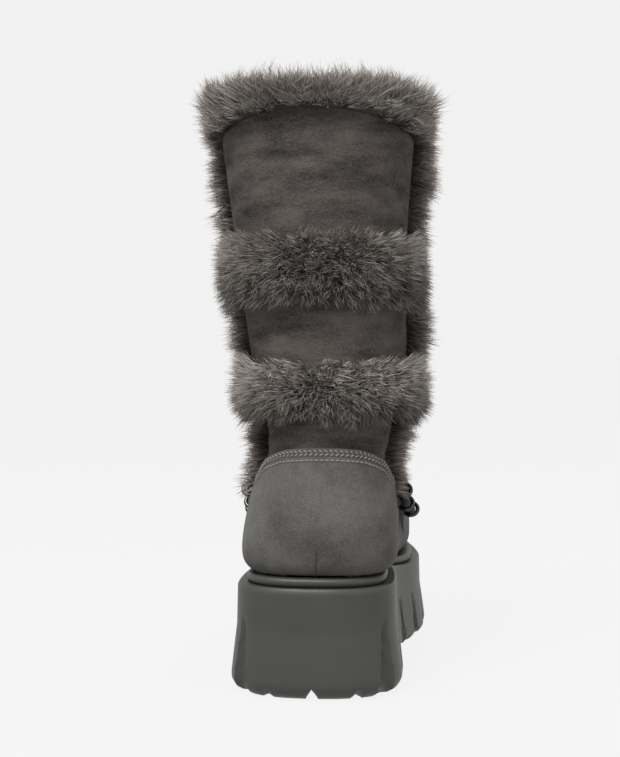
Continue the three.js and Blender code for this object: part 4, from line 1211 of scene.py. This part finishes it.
@dataclass(frozen=True)
class Stitching:
    """Rows of stitches on the foot's seams, painted shade in the dart and the furrow, and the light cut edge
    of the shaft.
    """

    length: float = 2.4
    spacing: float = 2.7
    radius: float = 0.5
    sides: int = 6
    backing: float = 0.1
    lift: float = 0.12
    dart_height: float = 17
    cut_edge_radius: float = 0.7
    half_turn: float = 1.5

    # Each ring of a stitch: its place along the half length, and its share of the radius
    taper: tuple[tuple[float, float], ...] = ((-1, 0), (-0.7, 0.9), (0, 1.05), (0.7, 0.9), (1, 0))

    # Each row under the top edge: how far it lies below it, and its stitches' slant in radians
    edge_rows: tuple[tuple[float, float], ...] = ((1.7, 0.6), (3.5, -0.6), (6.4, 0))
    front_insets: tuple[float, ...] = (2.2, 4.6)

    def row(self, path: Array, outward: Array, slant: float = 0) -> tuple[Array, Array]:
        """Return the corners and faces of stitches along a path.

        Args:
            path: Close points along the seam, in millimetres.
            outward: The direction out of the surface at each point.
            slant: How far each stitch turns across the seam, in radians.

        Returns:
            The corners and the faces.
        """
        along = np.concatenate([[0], np.cumsum(np.linalg.norm(np.diff(path, axis=0), axis=1))])
        stops = np.arange(self.spacing / 2, along[-1], self.spacing)
        middle = np.stack([np.interp(stops, along, path[:, n]) for n in range(3)], 1)
        way = np.stack([np.interp(stops, along, np.gradient(path[:, n])) for n in range(3)], 1)
        out = np.stack([np.interp(stops, along, outward[:, n]) for n in range(3)], 1)
        way /= np.linalg.norm(way, axis=1)[:, None]
        out /= np.linalg.norm(out, axis=1)[:, None]
        across = np.cross(way, out)
        cos, sin = math.cos(slant), math.sin(slant)
        way, across = way * cos + across * sin, across * cos - way * sin
        rings, sides = [], self.sides
        for share, size in self.taper:
            centre = middle + way * share * self.length / 2
            for turn in np.arange(sides) * FULL_TURN / sides:
                rings.append(centre + (across * math.cos(turn) + out * math.sin(turn)) * self.radius * size)
        verts = np.array(rings).transpose(1, 0, 2).reshape(-1, 3)
        quads = [(r + k, r + (k + 1) % sides, r + sides + (k + 1) % sides, r + sides + k)
                 for r in range(0, len(rings) - sides, sides) for k in range(sides)]
        first = (np.arange(len(stops)) * len(rings))[:, None, None]
        return verts, (first + np.array(quads)[None]).reshape(-1, 4)

    def on_edge(self, upper: Upper, drop: float, grow: float) -> tuple[Array, Array]:
        """Return a path below the foot's top edge, and the directions out of the surface."""
        turn = np.linspace(-self.half_turn, self.half_turn, 160)
        row = upper.top_row(turn, grow, drop)
        path = BOOT.points(row, turn, grow)
        return path, BOOT.points(row, turn, grow + 1) - path

    def down_front(self, form: BVHTree, upper: Upper, side: Side, inset: float) -> tuple[Array, Array]:
        """Return a path inside the counter's front edge, and the directions out of the surface."""
        places, outs = [], []
        for z in np.linspace(BOOT.seat + 2, BOOT.seat + 0.235 * BOOT.leg_height, 60):
            edge = upper.counter_inside(np.array([[0, 0, z]]))[0] - inset
            start = Vector((side.value * 0.2, edge * MM, z * MM))
            hit = form.ray_cast(start, Vector((-side.value, 0, 0)))[0]
            if hit is not None and upper.edge_height(np.array([edge]))[0] > z + 3:
                places.append(np.array(hit) / MM)
                outs.append((side.value, 0, 0))
        return np.array(places), np.array(outs, float)

    def build(self, upper: Upper, form: BVHTree) -> bpy.types.Object:
        """Build all the stitches as one joined mesh.

        Args:
            upper: The foot that they are sewn on.
            form: Its proud surface.

        Returns:
            The piece.
        """
        rows = []
        for drop, slant in self.edge_rows:
            rows.append(self.row(*self.on_edge(upper, drop, OVERLAY_GROW + self.lift), slant))
        for side in Side:
            for inset in self.front_insets:
                rows.append(self.row(*self.down_front(form, upper, side, inset)))
        verts = np.concatenate([v for v, _ in rows]) * MM
        starts = np.cumsum([0] + [len(v) for v, _ in rows[:-1]])
        faces = np.concatenate([f + s for (_, f), s in zip(rows, starts)])
        mesh = bpy.data.meshes.new("stitches")
        mesh.from_pydata(verts.tolist(), [], faces.tolist())
        mesh.polygons.foreach_set("use_smooth", [True] * len(mesh.polygons))
        return link("stitches", mesh, "suede", [])

    def furrow(self, upper: Upper) -> bpy.types.Object:
        """Build the painted shade of the furrow under the braided stitches: a thin dark strip along the
        counter's top edge.
        """
        def place(around: Array, along: Array) -> Array:
            turn = (2 * around - 1) * self.half_turn
            row = np.empty_like(turn)
            for share in np.unique(along):
                here = along == share
                row[here] = upper.top_row(turn[here], OVERLAY_GROW, 0.9 + 3.5 * share)
            return BOOT.points(row, turn, OVERLAY_GROW + 0.05)

        bm = grid_mesh(120, 4, place)
        face_outwards(bm, FOOT_MIDDLE)
        return sewn("stitch_furrow", "suede", [], bm, self.backing, 40)

    def dart(self) -> bpy.types.Object:
        """Build the painted shade of the dart's slit: a thin dark strip at the bottom of the counter's back.
        """
        low, high = BOOT.seat + 0.5, BOOT.seat + self.dart_height

        def place(around: Array, along: Array) -> Array:
            z = low + (high - low) * along
            half = 0.25 + 0.75 * np.sqrt(np.clip((1 - along) * (along - 0.5) * 4, 0, 1))
            row = np.interp(z, *self.back_heights())
            path = BOOT.points(row, np.zeros_like(row), OVERLAY_GROW + 0.06)
            path[:, 0] += (2 * around - 1) * half * np.clip((1 - along) * 12, 0, 1)
            return path

        bm = grid_mesh(2, 40, place)
        face_outwards(bm, FOOT_MIDDLE)
        return sewn("heel_dart_painted_shade", "suede", [], bm, self.backing, 40)

    def cut_edge(self) -> bpy.types.Object:
        """Build the pale cut edge along the shaft's top."""
        turn = np.linspace(0, FULL_TURN, 161)
        row = np.full_like(turn, BOOT.row_at(BOOT.shaft_top))
        bm = tube_mesh(BOOT.points(row, turn, SHAFT_GROW - SOLE.gap), self.cut_edge_radius, 8)
        return link("shaft_cut_edge", finished(bm, "shaft_cut_edge", 60), "sheepskin", [])

    def back_heights(self) -> tuple[Array, Array]:
        """Return heights up the counter's back, and the rows that they lie on."""
        rows = np.linspace(8, len(BOOT.FOOT_ROWS) + 1, 300)
        back = BOOT.points(rows, np.zeros_like(rows), OVERLAY_GROW)
        rising = np.maximum.accumulate(back[:, 2])
        return rising, rows


def paint(pieces: Sequence[bpy.types.Object], grain: bpy.types.ShaderNodeTree) -> None:
    """Give every piece and every CAD node that still shows its material.

    Args:
        pieces: The pieces of the scene.
        grain: The grain group.
    """
    made = {finish.name: finish.material(grain) for finish in FINISHES}
    made["fur"] = fur_material()
    # The dart and the furrow are thin dark sheets of painted shade.
    special = {"stitches": "thread", "shaft_cut_edge": "thread", "heel_dart_painted_shade": "cord", "stitch_furrow": "seam"}
    for piece in pieces:
        piece.data.materials.clear()
        piece.data.materials.append(made[special.get(piece.name, piece["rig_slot"])])
    for name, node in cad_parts.items():
        for place in node.material_slots:
            word = "felt" if name == "insole" else "suede" if name.startswith("lace_tab") else None
            if word:
                place.material = made[word]


@dataclass(frozen=True)
class Lamp:
    """A soft round light: its place, the height over the heel that it aims at, its size and power."""

    name: str
    place: tuple[float, float, float]
    aim_height: float
    size: float
    power: float

    def build(self) -> None:
        """Set up the light."""
        lamp = bpy.data.lights.new(self.name, "AREA")
        lamp.shape = "DISK"
        lamp.size = self.size
        lamp.energy = self.power
        piece = bpy.data.objects.new(self.name, lamp)
        piece.location = self.place
        way = Vector((0, 0, self.aim_height)) - Vector(self.place)
        piece.rotation_euler = way.to_track_quat("-Z", "Y").to_euler()
        bpy.context.scene.collection.objects.link(piece)


@dataclass(frozen=True)
class Studio:
    """A pale floor and background, soft light, and the camera of the photo."""

    camera_place: tuple[float, float, float] = (0.0605, -0.740, 0.1755)
    camera_turn: float = math.radians(5)
    lens: float = 66.6
    shift: float = -0.0376
    background: tuple[float, float, float] = (0.885, 0.885, 0.885)
    floor_shade: tuple[float, float, float, float] = (0.022, 0.022, 0.022, 1)
    floor_glow: float = 0.978
    floor_size: float = 60
    lamps: tuple[Lamp, ...] = (
        Lamp("key", (-0.35, -0.85, 1.45), 0.2, 0.6, 36),
        Lamp("fill", (1.3, -0.9, 0.8), 0.14, 1.2, 3),
        Lamp("top", (0, 0.1, 1.7), 0.2, 0.9, 12),
    )

    def floor(self) -> None:
        """Lay the floor."""
        bm = bmesh.new()
        bmesh.ops.create_grid(bm, x_segments=2, y_segments=2, size=self.floor_size)
        bmesh.ops.translate(bm, vec=(0, 0, -0.5 * MM), verts=bm.verts)
        piece = bpy.data.objects.new("floor", finished(bm, "floor"))
        material, _ = shaded("floor", Base_Color=self.floor_shade, Roughness=1.0, Specular_IOR_Level=0.0,
                             Emission_Color=(*self.background, 1), Emission_Strength=self.floor_glow)
        piece.data.materials.append(material)
        bpy.context.scene.collection.objects.link(piece)

    def camera(self) -> None:
        """Set up the camera as in the photo."""
        lens = bpy.data.cameras.new("camera")
        lens.lens = self.lens
        lens.sensor_width = 36
        lens.shift_y = self.shift
        piece = bpy.data.objects.new("camera", lens)
        piece.location = self.camera_place
        piece.rotation_euler = (math.pi / 2, 0, self.camera_turn)
        bpy.context.scene.collection.objects.link(piece)
        bpy.context.scene.camera = piece

    def build(self) -> None:
        """Build the floor, camera, lights and background, and choose how colours show."""
        self.floor()
        self.camera()
        for lamp in self.lamps:
            lamp.build()
        scene = bpy.context.scene
        scene.world = bpy.data.worlds.new("studio")
        scene.world.use_nodes = True
        sky = scene.world.node_tree.nodes["Background"]
        sky.inputs["Color"].default_value = (*self.background, 1)
        sky.inputs["Strength"].default_value = 1.0
        scene.view_settings.view_transform = "Standard"
        scene.view_settings.look = "None"


def main() -> None:
    """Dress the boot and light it."""
    logging.basicConfig(level=logging.INFO)
    upper = Upper()
    lacing = Lacing()
    patches = fur_patches()
    pieces = [Tread().build(), Rand().build(), *upper.build(), Shaft().build(), *lacing.build()]
    seams = Stitching()
    pieces += [seams.build(upper, lacing.laced_form()), seams.furrow(upper), seams.dart(), seams.cut_edge()]
    for patch in patches:
        pieces.append(patch.build())
        if not patch.inside:
            pieces.append(Pelt(patch).build())
    paint(pieces, grain_group())
    Studio().build()


if __name__ == "__main__":
    main()
